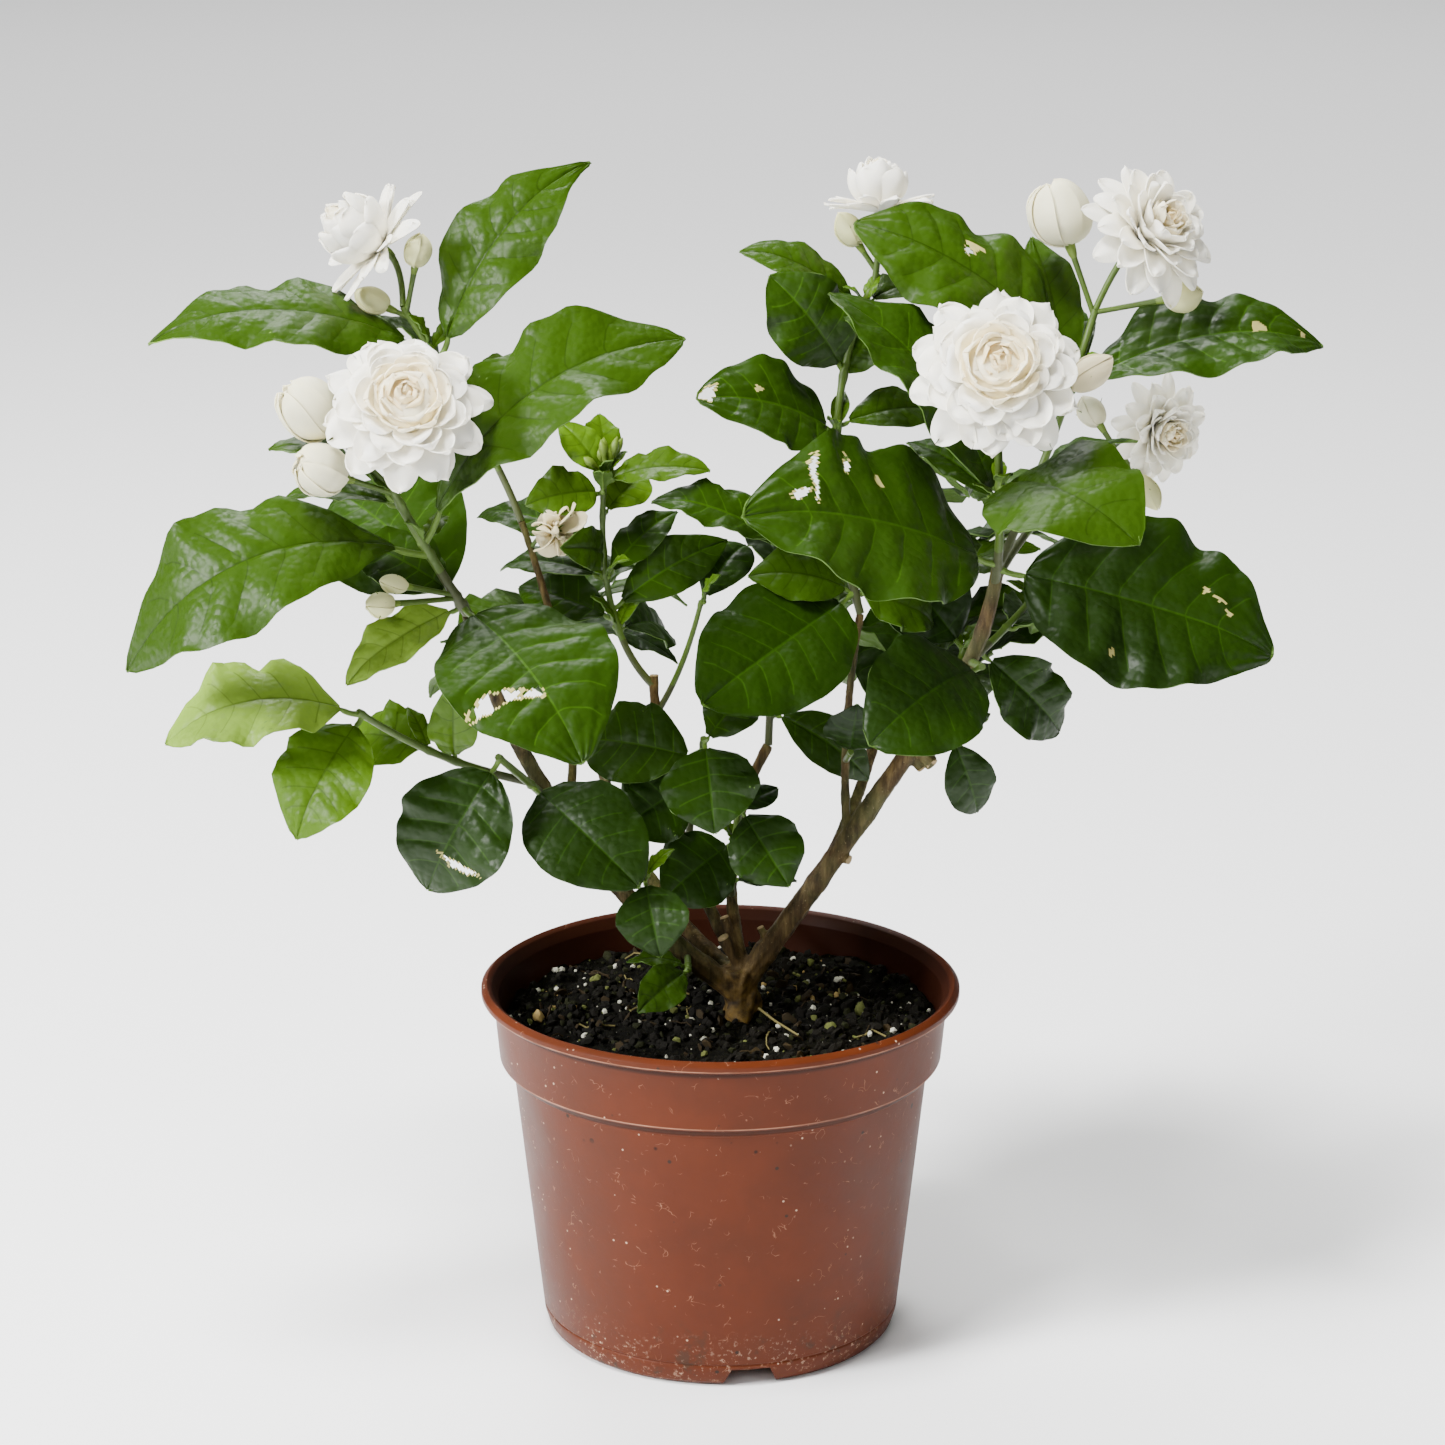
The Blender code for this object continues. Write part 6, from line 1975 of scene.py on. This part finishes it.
def add_pot():
    """The turned pot with its moulded edges softened, then its notches and drain holes cut."""
    pot = turned("nursery_pot", seamed(pot_profile()), plastic_material())
    soften = pot.modifiers.new("Soften", "BEVEL")
    soften.width = POT_EDGE * MM
    soften.segments = 2
    soften.limit_method = "ANGLE"
    soften.angle_limit = math.radians(22)
    apply_modifiers(pot)
    cutters = notch_cutters() + drain_cutters()
    bpy.context.view_layer.update()
    cut(pot, cutters)
    for cutter in cutters:
        bpy.data.objects.remove(cutter)
    for vert in pot.data.vertices:
        if vert.co.z > FLOOR_UNDERSIDE * 2 * MM:
            place = Vector((vert.co.x, vert.co.y, vert.co.z * 0.5)) / (45 * MM)
            warp = 1 + POT_WARP * noise.noise(place)
            vert.co.x *= warp
            vert.co.y *= warp
    pot.data.shade_smooth()
    pot.data.set_sharp_from_angle(angle=math.radians(40))
    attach(pot, "root")
    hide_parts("pot")


def mix_height(x, y):
    """How high the crumbly top of the mix lies at a place, in millimetres."""
    place = Vector((x, y, 3.0))
    bumps = sum(high * noise.noise(place / wide) for high, wide in MIX_BUMPS)
    return SOIL_HEIGHT - 0.9 + bumps - 1.2 * (math.hypot(x, y) / LIP_RADIUS) ** 4


def ring_spots(radius, sides):
    """Places round a ring, across and back."""
    turns = [2 * math.pi * side / sides for side in range(sides)]
    return [(radius * math.cos(angle), radius * math.sin(angle)) for angle in turns]


MIX_RADIUS = 68.2
MIX_BUMPS = ((2.2, 15), (2.0, 5.5), (1.0, 2.2))  # height and width of the bumps
MIX_RINGS = 84
MIX_SIDES = 220
# The bits that lie on the mix: name and colour, and roughness where it isn't plain
BIT_LOOKS = (
    ("mix_crumb", (0.0035, 0.0028, 0.0015), 0.9),
    ("perlite", (0.42, 0.41, 0.33)),
    ("yellow_grain", (0.30, 0.21, 0.075)),
    ("mossy_grain", (0.085, 0.095, 0.025)),
    ("bark_bit", (0.020, 0.013, 0.0045)),
    ("dry_straw", (0.12, 0.10, 0.035)),
    ("mossy_crumb", (0.010, 0.011, 0.003), 0.9),
)
BARK_BIT, STRAW = 4, 5
# How many, least and greatest size, which look, and how flat
SCATTERED = (
    (1700, 0.8, 5.0, 0, 0.8),
    (230, 0.6, 2.9, 1, 1.0),
    (120, 0.8, 3.4, 3, 1.0),
    (36, 0.9, 3.2, 2, 1.0),
    (170, 1.2, 6.0, 4, 0.4),
    (500, 0.8, 4.0, 6, 0.8),
)
# Grains laid where the photograph shows single ones: place across and back, size, look
GRAINS = (
    (-57, -4, 5.2, 2),
    (-56, -23, 4.2, 2),
    (-47, -36, 3.6, 3),
    (-43, -38, 3.4, 3),
    (-31, -45, 4.6, 3),
    (60, -22, 4.0, 2),
    (34, -16, 4.4, 3),
    (44, 4, 4.8, 3),
)
# A straw that lies in front of the trunk: place and radius
LONG_STRAW = ((12, -4, 2.5, 0.4), (17, -14, 2.0, 0.38), (24, -24, 1.0, 0.3))


def add_mix_body():
    """Potting mix: a closed body with a rough top, clear of the pot's wall and floor."""
    body = Pile("mix_body", [mix_material()])
    points = [mm(0, 0, mix_height(0, 0))]
    for ring in range(1, MIX_RINGS + 1):
        for x, y in ring_spots(MIX_RADIUS * ring / MIX_RINGS, MIX_SIDES):
            points.append(mm(x, y, mix_height(x, y)))
    wall = [(radius - GAP, height) for radius, height in reversed(pot_profile()[1:4])]
    wall[-1] = (wall[-1][0], wall[-1][1] + GAP)
    for radius, height in wall:
        points += [mm(x, y, height) for x, y in ring_spots(radius, MIX_SIDES)]
    points.append(mm(0, 0, wall[-1][1]))
    rings = MIX_RINGS + len(wall)
    foot = 1 + (rings - 1) * MIX_SIDES
    faces = []
    for side in range(MIX_SIDES):
        after = (side + 1) % MIX_SIDES
        faces.append([0, 1 + side, 1 + after])
        for low in range(1, foot, MIX_SIDES):
            high = low + MIX_SIDES
            faces.append([low + side, high + side, high + after, low + after])
        faces.append([foot + side, len(points) - 1, foot + after])
    body.add([tuple(point) for point in points], faces, [0] * len(faces))
    piece = body.piece(180)
    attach(piece, "root")
    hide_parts("potting_mix")


def add_mix_bits():
    """Crumbs, perlite, grains, bark bits and fibres that lie on the mix."""
    dice = random.Random(11)
    bits = Pile("mix_bits", [mineral_material(*row) for row in BIT_LOOKS])

    def place(margin):
        radius = (MIX_RADIUS - margin) * math.sqrt(dice.random())
        angle = dice.uniform(0, 2 * math.pi)
        return radius * math.cos(angle), radius * math.sin(angle)

    for count, least, greatest, shade, flat in SCATTERED:
        for _ in range(count):
            x, y = place(1.5)
            size = least + (greatest - least) * dice.random() ** 2.2
            centre = mm(x, y, mix_height(x, y) + size * 0.15)
            bits.lump(centre, size, dice, shade, 1, flat)
    for x, y, size, shade in GRAINS:
        bits.lump(mm(x, y, mix_height(x, y) + size * 0.25), size, dice, shade, 2)
    for _ in range(46):
        x, y = place(8)
        heading = dice.uniform(0, 2 * math.pi)
        length = dice.uniform(4, 14)
        points = []
        for t in np.linspace(0.0, 1.0, 5):
            across = x + length * t * math.cos(heading + 0.5 * t)
            back = y + length * t * math.sin(heading + 0.5 * t)
            height = mix_height(across, back) + 0.5 + 0.8 * math.sin(math.pi * t)
            points.append(mm(across, back, height))
        radius = dice.uniform(0.15, 0.4) * MM
        bits.sweep(points, [radius] * 5, 5, STRAW if dice.random() < 0.4 else BARK_BIT)
    straw = [mm(x, y, SOIL_HEIGHT + height) for x, y, height, _ in LONG_STRAW]
    bits.sweep(straw, [radius * MM for *_, radius in LONG_STRAW], 6, STRAW)
    piece = bits.piece(30)
    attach(piece, "root")


# The photograph's camera
CAMERA_PLACE = (0.6, -1156.8, 525.1)
CAMERA_PITCH = 15.86
CAMERA_LENS = 97.36
# The floor, in metres: how far it reaches and how far it lies under the pot's foot
FLOOR_REACH = 14.0
FLOOR_DROP = 0.0005
WORLD_LIGHT = 0.13
# Name, place and aim in metres, width, power in watts, and whether it shows as gloss
LAMPS = (
    ("side", (-1.35, -0.8, 1.0), (0.0, 0.0, 0.2), 0.45, 66, True),
    ("top", (-0.35, -0.45, 1.7), (0.0, 0.0, 0.25), 0.5, 64, False),
    ("front", (-0.6, -1.6, 1.0), (0.0, 0.0, 0.2), 0.8, 10, False),
    ("fill", (1.4, -1.3, 0.9), (0.0, 0.0, 0.15), 1.0, 6, False),
    ("back", (-0.3, 1.1, 1.5), (0.0, 0.0, 0.25), 0.7, 20, True),
    ("ceiling", (0.0, 3.2, 3.6), (0.0, 3.0, 0.0), 4.0, 200, False),
)


def add_floor():
    bm = bmesh.new()
    bmesh.ops.create_grid(bm, x_segments=1, y_segments=1, size=FLOOR_REACH)
    look = Look("studio_floor", (0.93, 0.93, 0.93), 0.9)
    floor = add_mesh("studio_floor", bm, look.material)
    floor.location.z = -FLOOR_DROP


def add_lamp(name, place, aim, size, power, seen):
    """A round lamp; only those that are seen show as gloss on what they light."""
    data = bpy.data.lights.new(name, "AREA")
    data.shape = "DISK"
    data.size = size
    data.energy = power
    lamp = linked(name, data)
    lamp.location = place
    lamp.rotation_euler = (Vector(aim) - Vector(place)).to_track_quat("-Z", "Y").to_euler()
    lamp.visible_glossy = seen


def add_studio():
    """A pale room with soft light all round and the lamps listed above."""
    world = bpy.data.worlds.new("studio")
    world.use_nodes = True
    background = world.node_tree.nodes["Background"]
    background.inputs["Color"].default_value = (1.0, 1.0, 1.0, 1.0)
    background.inputs["Strength"].default_value = WORLD_LIGHT
    bpy.context.scene.world = world
    for lamp in LAMPS:
        add_lamp(*lamp)


def add_camera():
    """The photograph's view: level sight turned down."""
    data = bpy.data.cameras.new("camera")
    data.lens = CAMERA_LENS
    data.sensor_width = 36.0
    data.clip_end = 60.0
    camera = linked("camera", data)
    camera.location = mm(*CAMERA_PLACE)
    camera.rotation_euler = (math.radians(90 - CAMERA_PITCH), 0.0, 0.0)
    bpy.context.scene.camera = camera


def main():
    add_camera()
    add_studio()
    add_floor()
    lines = grown_lines()
    add_mix_body()
    add_mix_bits()
    add_bark(lines)
    add_cut_ends(lines)
    add_plant(lines)
    add_pot()


main()
